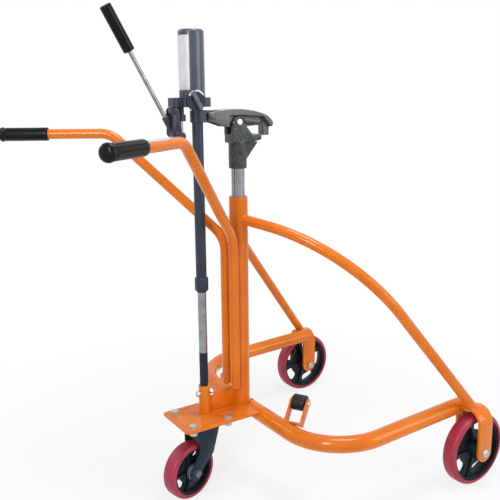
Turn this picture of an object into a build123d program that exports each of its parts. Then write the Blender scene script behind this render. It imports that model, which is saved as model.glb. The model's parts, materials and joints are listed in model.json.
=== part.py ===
from build123d import *
import math
import os

# Hand truck that grips a round container by its rim, lifts it with a jack and rolls on three wheels.
# Millimetres. X points forward into the bay, Y to the left, Z up from the floor.
# The pieces are drawn about the upright axis of the bay and moved to the truck's own origin when written.

# Bay that takes the load
wall_radius = 286.0
hoop_height = 6.5
bay_radius = wall_radius + hoop_height

# Running and standing clearances
slide_gap = 0.05
pivot_gap = 0.05
face_gap = 0.5
bolt_gap = 0.5
weld_bite = 0.4

# Base plate and caster mounting
caster_mount_height = 206.0
plate_thickness = 6.0
plate_side_edge = 20.0
plate_overhang = 28.0
plate_corner = 12.0
caster_pitch = 104.0
caster_bolt_d = 12.0
bolt_head_across = 20.0
bolt_head_height = 6.0
nut_height = 9.0

# Mast and lift pole
mast_od = 48.6
mast_wall = 4.0
mast_length = 576.0
mast_gap = 36.2
bush_length = 60.0
pole_d = 34.0
pole_showing = 72.0
pole_inside = 400.0
foot_height = 15.0
foot_spigot_d = 22.0

# Legs
leg_od = 42.7
leg_wall = 2.8
leg_gap = 8.2
leg_side_gap = 28.0
leg_drop = 17.0
leg_under_crown = 1.0
leg_bend = 160.0

# Braces
brace_od = 27.2
brace_wall = 2.3
brace_bend = 400.0
brace_drop = 57.0
brace_knee_x = -222.0
brace_knee_y = 289.0
brace_knee_height = 470.0
brace_landing = 5.0

# Handles and grips
handle_od = 25.4
handle_wall = 2.3
handle_angle = 35.4
handle_foot = 63.0
handle_bend_height = 468.0
handle_reach = 228.6
handle_spread = 178.4
handle_rise = 269.0
grip_run = 278.5
grip_splay = 33.6
lower_bend = 85.0
upper_bend = 70.0
grip_od = 34.0
grip_length = 127.5
grip_cap = 8.0
grip_knob_od = 37.0
grip_knob = 14.0
grip_knob_round = 11.0

# Front wheels and forks
front_wheel_radius = 100.0
front_wheel_width = 40.0
front_axle_x = 149.0
leg_to_wheel = 40.15
fork_bar = 8.0
fork_width = 50.0
fork_side_gap = 14.0
fork_crown_gap = 14.0
front_axle_d = 12.0
axle_head_across = 20.0
axle_head_height = 8.0

# Wheel details, shared by all three wheels
tread_thickness = 13.0
tread_round = 10.0
hub_rim = 6.0
hub_web = 9.0
hub_inset = 3.0
spoke_count = 5
spoke_thickness = 4.0
spoke_inset = 9.0
window_half_angle = 21.0
window_start = 0.45
window_corner = 0.4
front_boss_od = 50.0
caster_boss_od = 40.0

# Swivel caster
caster_offset = 11.0
caster_wheel_radius = 75.0
caster_wheel_width = 42.0
caster_trail = 50.0
caster_angle = 14.0
caster_plate_thickness = 5.0
caster_plate_edge = 11.0
race_od = 74.0
race_height = 14.0
caster_fork_bar = 5.0
caster_fork_gap = 5.0
caster_fork_front = 40.0
caster_fork_rear = 35.0
caster_knee_up = 54.0
caster_waist_up = 36.0
caster_waist_x = 14.0
caster_axle_d = 12.0
caster_boss = 22.0
kingpin_d = 14.0
kingpin_head_d = 24.0
kingpin_head = 7.0

# Guide rollers on the legs
roller_angle = 30.0
roller_radius = 21.0
roller_width = 35.0
roller_rise = 57.0
roller_touch = 1.0
roller_pin_d = 9.0
roller_head_d = 14.0
roller_head = 4.0
roller_side_gap = 2.0
roller_lean = 45.0
bracket_bar = 5.0
bracket_width = 25.0
bracket_bite = 4.0

# Jack: fixed rod, sliding tube
jack_offset = 114.0
socket_od = 30.0
socket_height = 84.0
socket_bolt_d = 8.0
socket_bolt_height = 62.0
socket_head_across = 13.0
socket_head_height = 8.0
gusset_thickness = 6.0
gusset_height = 58.0
rod_d = 22.0
spigot_d = 18.0
sleeve_length = 92.0
rod_showing = 167.0
rod_inside = 255.0
piston_height = 20.0
piston_spigot_d = 12.0
jack_od = 27.2
jack_wall = 2.3
gland_od = 35.0
gland_height = 35.0
gland_thread = 20.0
gland_round = 4.0

# Clamp head, measured from its pivot
socket_round = 2.0
clamp_socket_od = 46.0
clamp_socket_height = 65.0
clamp_wall = 5.0
pivot_back = 7.0
pivot_height = 52.0
pivot_d = 16.0
pivot_boss = 13.0
pivot_head_d = 16.0
pivot_head = 3.0
clamp_block_height = 20.0
clamp_block_rear = 19.0
clamp_half_width = 22.0
cheek_foot = 39.0
web_half_width = 11.5
jaw_gap = 1.5
jaw_rise = 8.0
jaw_slope = 37.0
rib_thickness = 10.0
rib_drop = 45.0
rib_reach = 60.0
edge_round = 4.0

# Beak, the upper jaw, measured from its pivot
beak_half_width = 24.0
beak_rear_top = 24.0
beak_peak = 32.0
beak_peak_back = 10.0
beak_brow = 72.0
beak_brow_up = 19.0
beak_reach = 102.0
beak_tip_down = 4.0
beak_lip_down = 14.0
beak_lip = 10.0
beak_crown_gap = 2.5
web_depth = 9.0
hook_half_width = 12.0
hook_width = 19.0
hook_depth = 36.0
rear_pin_back = 79.0
rear_pin_up = 16.0
rear_pin_d = 12.0
rear_pin_head_d = 17.0
rear_pin_head = 4.0
rear_boss = 10.0
ear_length = 50.0
ear_flat = 5.0
ear_depth = 11.0

# Lift collar and arms that raise the beak
collar_od = 36.0
collar_height = 29.0
arm_thickness = 6.0
arm_side_gap = 0.6
arm_hole_play = 2.4

# Pump head, reservoir and pump
head_gap = 8.5
head_height = 22.0
head_half_width = 31.0
head_rear = 71.0
head_front = 29.0
head_wing = 16.0
head_round = 3.0
reservoir_od = 62.0
reservoir_wall = 3.0
reservoir_height = 157.0
reservoir_back = 12.0
reservoir_round = 7.0
reservoir_seat = 10.0
seat_rim = 3.0
plug_d = 12.0
plug_height = 4.0
plug_drop = 30.0
tower_width = 30.0
tower_height = 39.0
tower_depth = 23.0
pump_back = 45.0
pump_neck_d = 16.0
pump_neck = 18.0
pump_od = 24.0
pump_length = 15.0
plunger_d = 10.0
plunger_drop = 4.0
plunger_eye = 16.0
plunger_eye_length = 18.0
plunger_eye_width = 10.0
fulcrum_back = 66.0
fulcrum_drop = 61.0
heel_drop = 7.0
heel_pin_d = 6.0
heel_slot = 6.0
heel_play = 0.5
heel_boss = 8.0
link_pin_d = 8.0
link_pin_drop = 10.0
link_plate = 4.0
link_half_gap = 13.0
link_width = 20.0
link_head_d = 12.0
link_head = 2.5
lug_half_width = 9.0

# Pump lever
lever_angle = 29.0
lever_length = 324.0
lever_socket_od = 16.0
lever_socket_start = 4.0
lever_socket_end = 44.0
lever_rod_d = 10.0
lever_rod_seat = 32.0
lever_grip_od = 27.0
lever_grip_length = 110.0
lever_grip_round = 3.0
lever_hub = 9.0
lever_half_width = 10.5

# Release valve
valve_back = 20.0
valve_up = 15.0
dial_radius = 25.0
dial_thickness = 3.0
valve_stem_d = 10.0
valve_stem_depth = 13.0
release_length = 47.0
release_width = 10.0
release_thickness = 7.0
release_angle = 29.0

# Places worked out from the sizes above
mast_x = -(bay_radius + mast_gap + mast_od / 2)
jack_x = mast_x - jack_offset
caster_x = jack_x - caster_offset
plate_bottom_z = caster_mount_height
plate_top_z = plate_bottom_z + plate_thickness
plate_rear_x = caster_x - caster_pitch / 2 - plate_overhang
plate_half = caster_pitch / 2 + plate_side_edge
mast_top_z = plate_top_z + mast_length
leg_x = -(bay_radius + leg_gap + leg_od / 2)
leg_y = bay_radius + leg_side_gap + leg_od / 2
leg_z = plate_top_z - leg_drop
wheel_y = leg_y + leg_to_wheel
fork_inside = front_wheel_width / 2 + fork_side_gap
fork_outside = fork_inside + fork_bar
fork_rear_x = front_axle_x - fork_width / 2
crown_z = 2 * front_wheel_radius + fork_crown_gap
leg_front_z = crown_z - leg_under_crown
arch_z = crown_z - fork_inside
handle_stand_off = mast_od / 2 + handle_od / 2 - weld_bite
handle_x = mast_x - handle_stand_off * math.cos(math.radians(handle_angle))
handle_y = handle_stand_off * math.sin(math.radians(handle_angle))
handle_bend_z = plate_top_z + handle_bend_height
grip_dir = Vector(-math.cos(math.radians(grip_splay)), math.sin(math.radians(grip_splay)), 0)
handle_corner = Vector(handle_x - handle_reach, handle_y + handle_spread, handle_bend_z + handle_rise)
handle_end = handle_corner + grip_dir * grip_run
clamp_z = mast_top_z + pole_showing
block_z = clamp_z + clamp_socket_height
block_top_z = block_z + clamp_block_height
pivot_x = mast_x - pivot_back
pivot_z = block_z + pivot_height
rear_pin_x = pivot_x - rear_pin_back
rear_pin_z = pivot_z + rear_pin_up
collar_z = rear_pin_z - collar_height / 2
head_z = collar_z + collar_height + head_gap
head_top_z = head_z + head_height
socket_top_z = plate_top_z + socket_height
sleeve_top_z = socket_top_z + sleeve_length
gland_z = sleeve_top_z + rod_showing
rod_top_z = gland_z + rod_inside
reservoir_x = jack_x - reservoir_back
pump_x = jack_x - pump_back
pump_top_z = head_z - pump_neck
pump_bottom_z = pump_top_z - pump_length
fulcrum_x = jack_x - fulcrum_back
fulcrum_z = head_z - fulcrum_drop
heel_z = fulcrum_z - heel_drop
link_pin_z = head_z - link_pin_drop
lever_dir = Vector(-math.sin(math.radians(lever_angle)), 0, math.cos(math.radians(lever_angle)))
fulcrum = Vector(fulcrum_x, 0, fulcrum_z)
valve_x = jack_x - valve_back
valve_z = head_z + valve_up
roller_reach = wall_radius + roller_touch + roller_radius
roller_out = Vector(-math.cos(math.radians(roller_angle)), math.sin(math.radians(roller_angle)), 0)
roller_along = Vector(math.sin(math.radians(roller_angle)), math.cos(math.radians(roller_angle)), 0)
roller_z = leg_z + roller_rise
caster_plate_z = plate_bottom_z - caster_plate_thickness
race_top_z = caster_plate_z - face_gap
caster_crown_z = race_top_z - race_height
caster_fork_inside = caster_wheel_width / 2 + caster_fork_gap
grip_tail = handle_end + grip_dir * grip_cap
knob_flat = grip_knob_od / 2 - grip_knob_round
knob_lean = grip_knob_round * (1 - math.cos(math.radians(grip_splay)))
rear_end_x = grip_tail.X - knob_flat * math.sin(math.radians(grip_splay)) - knob_lean
front_end_x = front_axle_x + front_wheel_radius
origin_x = (rear_end_x + front_end_x) / 2

parts = {}


def post(radius, x, y, z0, z1):
    return Pos(x, y, (z0 + z1) / 2) * Cylinder(radius, z1 - z0)


def cross_rod(radius, x, z, y0, y1):
    return Pos(x, (y0 + y1) / 2, z) * Rot(90, 0, 0) * Cylinder(radius, y1 - y0)


def block(x0, x1, y0, y1, z0, z1):
    return Pos((x0 + x1) / 2, (y0 + y1) / 2, (z0 + z1) / 2) * Box(x1 - x0, y1 - y0, z1 - z0)


def slab(face, y0, y1):
    return Pos(0, (y0 + y1) / 2, 0) * extrude(Plane.XZ * face, (y1 - y0) / 2, both=True)


def side_plate(points, y0, y1):
    return slab(make_face(Polyline(*points, close=True)), y0, y1)


def rod_between(start, end, radius):
    run = end - start
    bar = Cylinder(radius, run.length, align=(Align.CENTER, Align.CENTER, Align.MIN))
    return Plane(start, z_dir=run) * bar


def bent_rod(points, bends, radius):
    path = FilletPolyline(*points, radius=bends)
    return sweep(Plane(path @ 0, z_dir=path % 0) * Circle(radius), path=path)


def bent_tube(points, bends, od, wall):
    return bent_rod(points, bends, od / 2) - bent_rod(points, bends, od / 2 - wall)


def hexagon(across, z0, z1):
    return Pos(0, 0, z0) * extrude(RegularPolygon(across / math.sqrt(3), 6), z1 - z0)


def bolt(d, grip, head_across, head_height, tail):
    shank = Cylinder(d / 2, grip + tail, align=(Align.CENTER, Align.CENTER, Align.MAX))
    return shank + hexagon(head_across, 0, head_height)


def nut(d, across, z0, z1):
    return hexagon(across, z0, z1) - post(d / 2, 0, 0, z0, z1)


def both_sides(name, solid):
    parts[name + "_left"] = solid
    parts[name + "_right"] = mirror(solid, about=Plane.XZ)


def with_mirror(solid):
    return Compound(children=[solid, mirror(solid, about=Plane.XZ)])


# Masks of round pieces, used to shape what is welded to them
def mast_mask():
    return post(mast_od / 2, mast_x, 0, plate_top_z, mast_top_z)


def leg_points():
    start = Vector(leg_x, 0, leg_z)
    corner = Vector(leg_x, leg_y, leg_z)
    reach = fork_rear_x + leg_od / 2
    return [start, corner, Vector(reach, leg_y, leg_front_z)]


def leg_mask():
    return bent_rod(leg_points(), [leg_bend], leg_od / 2)


# Legs: each runs out from the middle, bends round the bay, climbs and is cut to fit its fork
def make_legs():
    bore = bent_rod(leg_points(), [leg_bend], leg_od / 2 - leg_wall)
    closed_x = fork_rear_x - leg_wall
    beyond = block(closed_x, closed_x + 2 * leg_od, leg_y - leg_od, leg_y + leg_od, 0, crown_z * 2)
    both_sides("leg", leg_mask() - (bore - beyond) - fork_shape(fork_outside))


# Base plate, with its front edge fitted to the legs
def make_plate():
    plate = block(plate_rear_x, leg_x, -plate_half, plate_half, plate_bottom_z, plate_top_z)
    corners = plate.edges().filter_by(Axis.Z).group_by(Axis.X)[0]
    plate = fillet(corners, plate_corner)
    legs = leg_mask()
    plate = plate - legs - mirror(legs, about=Plane.XZ)
    for x, y in caster_bolt_places():
        plate -= post(caster_bolt_d / 2 + bolt_gap, x, y, plate_bottom_z, plate_top_z)
    parts["base_plate"] = plate


def caster_bolt_places():
    half = caster_pitch / 2
    return [(caster_x + sx * half, sy * half) for sx in (-1, 1) for sy in (-1, 1)]


def make_mast():
    bore = post(mast_od / 2 - mast_wall, mast_x, 0, plate_top_z, mast_top_z)
    legs = leg_mask()
    parts["mast_tube"] = mast_mask() - bore - legs - mirror(legs, about=Plane.XZ)
    bush = post(mast_od / 2 - mast_wall, mast_x, 0, mast_top_z - bush_length, mast_top_z)
    parts["mast_bush"] = bush - post(pole_d / 2 + slide_gap, mast_x, 0, mast_top_z - bush_length, mast_top_z)


def make_pole():
    foot_top_z = mast_top_z - pole_inside
    pole = post(pole_d / 2, mast_x, 0, foot_top_z, block_z - clamp_wall)
    parts["lift_pole"] = pole + post(foot_spigot_d / 2, mast_x, 0, foot_top_z - foot_height, foot_top_z)
    ring = post(mast_od / 2 - mast_wall - slide_gap, mast_x, 0, foot_top_z - foot_height, foot_top_z)
    parts["pole_foot"] = ring - post(foot_spigot_d / 2, mast_x, 0, foot_top_z - foot_height, foot_top_z)


# Handles stand against the mast, lean back and spread to the grips
def make_handles():
    foot = Vector(handle_x, handle_y, plate_top_z + handle_foot)
    bend = Vector(handle_x, handle_y, handle_bend_z)
    points = [foot, bend, handle_corner, handle_end]
    tube = bent_tube(points, [lower_bend, upper_bend], handle_od, handle_wall)
    both_sides("handle", tube - mast_mask())
    start = grip_tail - grip_dir * grip_length
    knob = rod_between(grip_tail - grip_dir * grip_knob, grip_tail, grip_knob_od / 2)
    knob = fillet(knob.edges().filter_by(GeomType.CIRCLE).sort_by(Axis.X)[:1], grip_knob_round)
    sleeve = rod_between(start, grip_tail - grip_dir * grip_knob, grip_od / 2)
    sleeve = fillet(sleeve.edges().filter_by(GeomType.CIRCLE).sort_by(Axis.X)[-1:], (grip_od - handle_od) / 4)
    both_sides("grip", knob + sleeve - rod_between(start, handle_end, handle_od / 2))


def fork_shape(inside):
    outline = Pos(wheel_y, arch_z) * Circle(inside)
    outline += Pos(wheel_y, arch_z / 2) * Rectangle(2 * inside, arch_z)
    return Pos(fork_rear_x, 0, 0) * extrude(Plane.YZ * outline, fork_width)


# Braces arch from the mast top over the side of the bay to the fork crowns
def make_braces():
    top = Vector(mast_x, 0, mast_top_z - brace_drop)
    knee = Vector(brace_knee_x, brace_knee_y, plate_top_z + brace_knee_height)
    landing = Vector(front_axle_x - brace_landing, wheel_y, crown_z)
    tube = bent_tube([top, knee, landing], [brace_bend], brace_od, brace_wall)
    both_sides("brace", tube - mast_mask() - fork_shape(fork_outside))


# Forks of flat bar bent over the front wheels
def make_forks():
    blade = block(fork_rear_x, fork_rear_x + fork_width, wheel_y - fork_outside, wheel_y + fork_outside,
                  front_wheel_radius, crown_z + fork_bar)
    blade += cross_rod(fork_width / 2, front_axle_x, front_wheel_radius,
                       wheel_y - fork_outside, wheel_y + fork_outside)
    fork = (fork_shape(fork_outside) - fork_shape(fork_inside)) & blade
    hole = cross_rod(front_axle_d / 2 + bolt_gap, front_axle_x, front_wheel_radius,
                     wheel_y - fork_outside, wheel_y + fork_outside)
    both_sides("fork", fork - hole)
    frame = Plane((front_axle_x, wheel_y + fork_outside, front_wheel_radius), z_dir=(0, 1, 0))
    span = 2 * fork_outside
    axle = frame * bolt(front_axle_d, span, axle_head_across, axle_head_height, nut_height)
    ring = frame * nut(front_axle_d, axle_head_across, -span - nut_height, -span)
    pair = [axle, ring]
    parts["front_axles"] = Compound(children=pair + [mirror(s, about=Plane.XZ) for s in pair])


# Wheel with its axle along Y through the origin
def wheel(radius, width, boss_od, boss_width, bore_d):
    rim_r = radius - tread_thickness
    well_r = rim_r - hub_rim
    boss_r = boss_od / 2
    hub = cross_rod(rim_r, 0, 0, -width / 2 + hub_inset, width / 2 - hub_inset)
    hub -= cross_rod(well_r, 0, 0, -width / 2, width / 2)
    hub += cross_rod(well_r, 0, 0, -hub_web / 2, hub_web / 2)
    window = wheel_window(boss_r + (well_r - boss_r) * window_start, well_r - hub_inset)
    for i in range(spoke_count):
        turn = Rot(0, 360 / spoke_count * i, 0)
        hub -= turn * window
        side = width / 2 - spoke_inset
        spoke = block(boss_r - hub_rim, rim_r - hub_inset, -side, side,
                      -spoke_thickness / 2, spoke_thickness / 2)
        hub += turn * Rot(0, 180 / spoke_count, 0) * spoke
    hub += cross_rod(boss_r, 0, 0, -boss_width / 2, boss_width / 2)
    hub -= cross_rod(bore_d / 2 + pivot_gap, 0, 0, -boss_width / 2, boss_width / 2)
    tread = cross_rod(radius, 0, 0, -width / 2, width / 2)
    tread = fillet(tread.edges().filter_by(GeomType.CIRCLE), tread_round)
    tread -= cross_rod(rim_r, 0, 0, -width / 2, width / 2)
    return hub, tread


def wheel_window(inner, outer):
    half = math.radians(window_half_angle)
    corner = [(r * math.cos(a), r * math.sin(a)) for r, a in
              ((inner, -half), (outer, -half), (outer, half), (inner, half))]
    outline = make_face(Line(corner[0], corner[1]) + ThreePointArc(corner[1], (outer, 0), corner[2])
                        + Line(corner[2], corner[3]) + ThreePointArc(corner[3], (inner, 0), corner[0]))
    outline = fillet(outline.vertices(), (outer - inner) * window_corner)
    return extrude(Plane.XZ * outline, hub_web, both=True)


def make_front_wheels():
    boss = 2 * (fork_inside - face_gap)
    hub, tread = wheel(front_wheel_radius, front_wheel_width, front_boss_od, boss, front_axle_d)
    place = Pos(front_axle_x, wheel_y, front_wheel_radius)
    both_sides("front_hub", place * hub)
    both_sides("front_tread", place * tread)


# Caster: drawn trailing straight back from its kingpin, then turned
def make_caster():
    half = caster_pitch / 2 + caster_plate_edge
    plate = block(caster_x - half, caster_x + half, -half, half, caster_plate_z, plate_bottom_z)
    fasteners = []
    for x, y in caster_bolt_places():
        plate -= post(caster_bolt_d / 2 + bolt_gap, x, y, caster_plate_z, plate_bottom_z)
        grip = plate_thickness + caster_plate_thickness
        place = Pos(x, y, plate_top_z)
        fasteners.append(place * bolt(caster_bolt_d, grip, bolt_head_across, bolt_head_height, nut_height))
        fasteners.append(place * nut(caster_bolt_d, bolt_head_across, -grip - nut_height, -grip))
    parts["caster_plate"] = plate
    parts["caster_bolts"] = Compound(children=fasteners)
    crown_z0 = caster_crown_z - caster_fork_bar
    head_top = crown_z0 - face_gap
    pin = post(kingpin_d / 2, caster_x, 0, head_top, caster_plate_z)
    parts["kingpin"] = pin + post(kingpin_head_d / 2, caster_x, 0, head_top - kingpin_head, head_top)
    turn = Pos(caster_x, 0, 0) * Rot(0, 0, caster_angle)
    bore = post(kingpin_d / 2 + pivot_gap, 0, 0, crown_z0, race_top_z)
    parts["swivel_race"] = turn * (post(race_od / 2, 0, 0, caster_crown_z, race_top_z) - bore)
    parts["caster_fork"] = turn * (caster_fork(crown_z0) - bore)
    side = caster_fork_inside + caster_fork_bar
    frame = Plane((-caster_trail, -side, caster_wheel_radius), z_dir=(0, -1, 0))
    axle = frame * bolt(caster_axle_d, 2 * side, axle_head_across, axle_head_height, nut_height)
    ring = frame * nut(caster_axle_d, axle_head_across, -2 * side - nut_height, -2 * side)
    parts["caster_axle"] = Compound(children=[turn * axle, turn * ring])
    boss = 2 * (caster_fork_inside - face_gap)
    hub, tread = wheel(caster_wheel_radius, caster_wheel_width, caster_boss_od, boss, caster_axle_d)
    place = turn * Pos(-caster_trail, 0, caster_wheel_radius)
    parts["caster_hub"] = place * hub
    parts["caster_tread"] = place * tread


def caster_fork(crown_z0):
    inside = caster_fork_inside
    outside = inside + caster_fork_bar
    axle_z = caster_wheel_radius
    outline = [(caster_fork_front, caster_crown_z), (-caster_fork_rear, caster_crown_z),
               (-caster_fork_rear, axle_z + caster_knee_up), (-caster_trail - caster_boss, axle_z),
               (-caster_trail + caster_boss, axle_z), (caster_waist_x, axle_z + caster_waist_up)]
    cheek = side_plate(outline, inside, outside)
    cheek += cross_rod(caster_boss, -caster_trail, axle_z, inside, outside)
    cheek -= cross_rod(caster_axle_d / 2 + bolt_gap, -caster_trail, axle_z, inside, outside)
    crown = block(-caster_fork_rear, caster_fork_front, -inside, inside, crown_z0, caster_crown_z)
    return cheek + mirror(cheek, about=Plane.XZ) + crown


# Guide rollers, each in a bent bracket that leans in over its leg
def make_rollers():
    lean = math.radians(roller_lean)
    centre = roller_out * roller_reach + Vector(0, 0, roller_z)
    up = roller_out * -math.cos(lean) + Vector(0, 0, math.sin(lean))
    frame = Plane(centre, x_dir=roller_along, z_dir=up)
    half = roller_width / 2 + roller_side_gap
    stand = math.hypot(leg_x - centre.X, leg_z - centre.Z) - leg_od / 2 + bracket_bite
    pin_bar = Rot(0, 90, 0) * Cylinder(roller_pin_d / 2, 2 * (half + bracket_bar))
    eye_bar = Rot(0, 90, 0) * Cylinder(roller_pin_d / 2 + bolt_gap, 2 * (half + bracket_bar))
    arm = Pos(0, 0, -stand / 2) * Box(2 * (half + bracket_bar), bracket_width, stand)
    arm += Rot(0, 90, 0) * Cylinder(bracket_width / 2, 2 * (half + bracket_bar))
    room = Pos(0, 0, bracket_bar) * Box(2 * half, 2 * bracket_width, 2 * stand)
    both_sides("roller_bracket", frame * (arm - room - eye_bar) - leg_mask())
    roller = Rot(0, 90, 0) * Cylinder(roller_radius, roller_width)
    roller = fillet(roller.edges().filter_by(GeomType.CIRCLE), roller_side_gap)
    roller -= Rot(0, 90, 0) * Cylinder(roller_pin_d / 2 + pivot_gap, roller_width)
    both_sides("guide_roller", frame * roller)
    head_x = half + bracket_bar + roller_head / 2
    for sign in (-1, 1):
        pin_bar += Pos(sign * head_x, 0, 0) * Rot(0, 90, 0) * Cylinder(roller_head_d / 2, roller_head)
    parts["roller_pins"] = with_mirror(frame * pin_bar)


# Jack socket, its cross bolt and the gusset that ties it to the mast
def make_jack_foot():
    socket = post(socket_od / 2, jack_x, 0, plate_top_z, socket_top_z)
    socket -= post(spigot_d / 2, jack_x, 0, plate_top_z, socket_top_z)
    bolt_z = plate_top_z + socket_bolt_height
    frame = Plane((jack_x - socket_od / 2, 0, bolt_z), z_dir=(-1, 0, 0))
    hole = frame * Cylinder(socket_bolt_d / 2 + bolt_gap, 2 * socket_od)
    parts["jack_socket"] = socket - hole
    stub = bolt(socket_bolt_d, socket_od, socket_head_across, socket_head_height, nut_height)
    ring = nut(socket_bolt_d, socket_head_across, -socket_od - nut_height, -socket_od)
    parts["socket_bolt"] = Compound(children=[frame * stub, frame * ring])
    gusset = block(jack_x, mast_x, -gusset_thickness / 2, gusset_thickness / 2,
                   plate_top_z, plate_top_z + gusset_height)
    solid_socket = post(socket_od / 2, jack_x, 0, plate_top_z, socket_top_z)
    room = post(socket_head_across, jack_x + socket_od / 2, 0, bolt_z - socket_head_across, socket_top_z)
    parts["gusset_plate"] = gusset - solid_socket - mast_mask() - room
    rod = post(spigot_d / 2, jack_x, 0, plate_top_z, sleeve_top_z)
    rod += post(rod_d / 2, jack_x, 0, sleeve_top_z, rod_top_z)
    rod += post(piston_spigot_d / 2, jack_x, 0, rod_top_z, rod_top_z + piston_height)
    parts["jack_rod"] = rod - hole
    sleeve = post(rod_d / 2, jack_x, 0, socket_top_z, sleeve_top_z)
    parts["rod_sleeve"] = sleeve - post(spigot_d / 2, jack_x, 0, socket_top_z, sleeve_top_z)
    piston = post(jack_od / 2 - jack_wall - slide_gap, jack_x, 0, rod_top_z, rod_top_z + piston_height)
    parts["jack_piston"] = piston - post(piston_spigot_d / 2, jack_x, 0, rod_top_z, rod_top_z + piston_height)


def make_jack_tube():
    tube_z = gland_z + gland_height - gland_thread
    tube = post(jack_od / 2, jack_x, 0, tube_z, head_z)
    parts["jack_tube"] = tube - post(jack_od / 2 - jack_wall, jack_x, 0, tube_z, head_z)
    gland = post(gland_od / 2, jack_x, 0, gland_z, gland_z + gland_height)
    gland = fillet(gland.edges().filter_by(GeomType.CIRCLE), gland_round)
    gland -= post(jack_od / 2, jack_x, 0, tube_z, gland_z + gland_height)
    parts["gland_nut"] = gland - post(rod_d / 2 + slide_gap, jack_x, 0, gland_z, tube_z)


# Clamp head casting: socket on the pole, two cheeks for the pivot and the lower jaw
def make_clamp_head():
    half = clamp_half_width
    socket = post(clamp_socket_od / 2, mast_x, 0, clamp_z, block_z)
    socket = fillet(socket.edges().sort_by(Axis.Z)[:1], socket_round)
    rear_x = pivot_x - clamp_block_rear
    front_x = -wall_radius
    slope_x = front_x - jaw_slope
    profile = [(rear_x, block_top_z), (rear_x, block_z), (slope_x, block_z),
               (front_x, block_z + jaw_rise), (front_x, block_top_z)]
    body = side_plate(profile, -half, half)
    body = fillet(body.edges().filter_by(Axis.Z).group_by(Axis.X)[0], edge_round)
    rib = side_plate([(mast_x, block_z), (mast_x + rib_reach, block_z),
                      (mast_x + clamp_socket_od / 2, block_z - rib_drop), (mast_x, block_z - rib_drop)],
                     -rib_thickness / 2, rib_thickness / 2)
    cheek = side_plate([(rear_x, block_top_z), (pivot_x + cheek_foot, block_top_z),
                        (pivot_x + pivot_boss, pivot_z), (rear_x, pivot_z)],
                       web_half_width + face_gap, half)
    cheek += cross_rod(pivot_boss, pivot_x, pivot_z, web_half_width + face_gap, half)
    head = socket + body + rib + cheek + mirror(cheek, about=Plane.XZ)
    head -= cross_rod(pivot_d / 2, pivot_x, pivot_z, -half, half)
    head -= post(pole_d / 2, mast_x, 0, clamp_z, block_z - clamp_wall)
    parts["clamp_head"] = head - post(bay_radius + jaw_gap, 0, 0, clamp_z, block_top_z)
    pin = cross_rod(pivot_d / 2, pivot_x, pivot_z, -half, half)
    for y0, y1 in ((-half - pivot_head, -half), (half, half + pivot_head)):
        pin += cross_rod(pivot_head_d / 2, pivot_x, pivot_z, y0, y1)
    parts["pivot_pin"] = pin


# Beak: crowned shell over a web, a hook at the tip and a clevis at the rear
def make_beak():
    under_z = pivot_boss + beak_crown_gap
    rear_x = -rear_pin_back - rear_boss
    ear_x = ear_length - rear_pin_back
    lip_x = beak_reach - beak_lip
    half = beak_half_width
    rear_top = (rear_x, beak_rear_top)
    peak = (-beak_peak_back, beak_peak)
    brow = (beak_brow, beak_brow_up)
    tip = (beak_reach, -beak_tip_down)
    fall = TangentArc(peak, brow, tangent=(1, 0))
    top = TangentArc(peak, rear_top, tangent=(-1, 0)) + fall + TangentArc(brow, tip, tangent=fall % 1)
    under = Polyline(tip, (beak_reach - beak_tip_down, -beak_lip_down), (lip_x, -beak_lip_down),
                     (beak_brow, under_z - beak_tip_down), (pivot_boss, under_z), (ear_x, under_z),
                     (rear_x, rear_pin_up), rear_top)
    shell = slab(make_face(top + under), -half, half)
    slot_half = arm_outer() + arm_side_gap
    slot_x = collar_height - rear_pin_back
    shell -= block(2 * rear_x, slot_x, -slot_half, slot_half, -beak_reach, beak_reach)
    hook_front = lip_x + edge_round
    hook_rear = hook_front - hook_width
    web_end = hook_rear + edge_round
    web_points = [(ear_x, beak_brow_up), (ear_x, -ear_depth), (-pivot_boss, -pivot_boss),
                  (pivot_boss, -pivot_boss), (beak_brow, -web_depth), (web_end, -web_depth),
                  (web_end, beak_tip_down),
                  (beak_brow, under_z), (pivot_boss, beak_brow_up)]
    web = side_plate(web_points, -web_half_width, web_half_width)
    ear_points = [(rear_x, rear_pin_up + rear_boss / 2), (ear_x, beak_brow_up), (ear_x, -ear_depth),
                  (ear_x - ear_flat, -ear_depth), (rear_x, rear_pin_up - rear_boss)]
    ear = side_plate(ear_points, slot_half, half)
    ear += block(ear_x - rear_boss, ear_x, 0, half, -ear_depth, beak_brow_up)
    hook = block(hook_rear, hook_front, -hook_half_width, hook_half_width, -hook_depth, -beak_tip_down)
    beak = shell + web + ear + mirror(ear, about=Plane.XZ) + hook
    beak -= cross_rod(pivot_d / 2 + pivot_gap, 0, 0, -half, half)
    beak -= cross_rod(rear_pin_d / 2, -rear_pin_back, rear_pin_up, -half, half)
    parts["beak"] = Pos(pivot_x, 0, pivot_z) * beak
    pin = cross_rod(rear_pin_d / 2, rear_pin_x, rear_pin_z, -half, half)
    for y0, y1 in ((-half - rear_pin_head, -half), (half, half + rear_pin_head)):
        pin += cross_rod(rear_pin_head_d / 2, rear_pin_x, rear_pin_z, y0, y1)
    parts["beak_pin"] = pin


def arm_outer():
    return collar_od / 2


# Collar on the jack tube with two arms that carry the rear pin of the beak
def make_collar():
    top_z = collar_z + collar_height
    collar = post(collar_od / 2, jack_x, 0, collar_z, top_z)
    for sign in (-1, 1):
        outer = sign * arm_outer()
        inner = sign * (arm_outer() - arm_thickness)
        y0, y1 = sorted((outer, inner))
        collar += block(jack_x, rear_pin_x, y0, y1, collar_z, top_z)
        collar += cross_rod(collar_height / 2, rear_pin_x, rear_pin_z, y0, y1)
    collar -= cross_rod(rear_pin_d / 2 + arm_hole_play, rear_pin_x, rear_pin_z, -collar_od, collar_od)
    parts["lift_collar"] = collar - post(jack_od / 2, jack_x, 0, collar_z, top_z)


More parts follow.
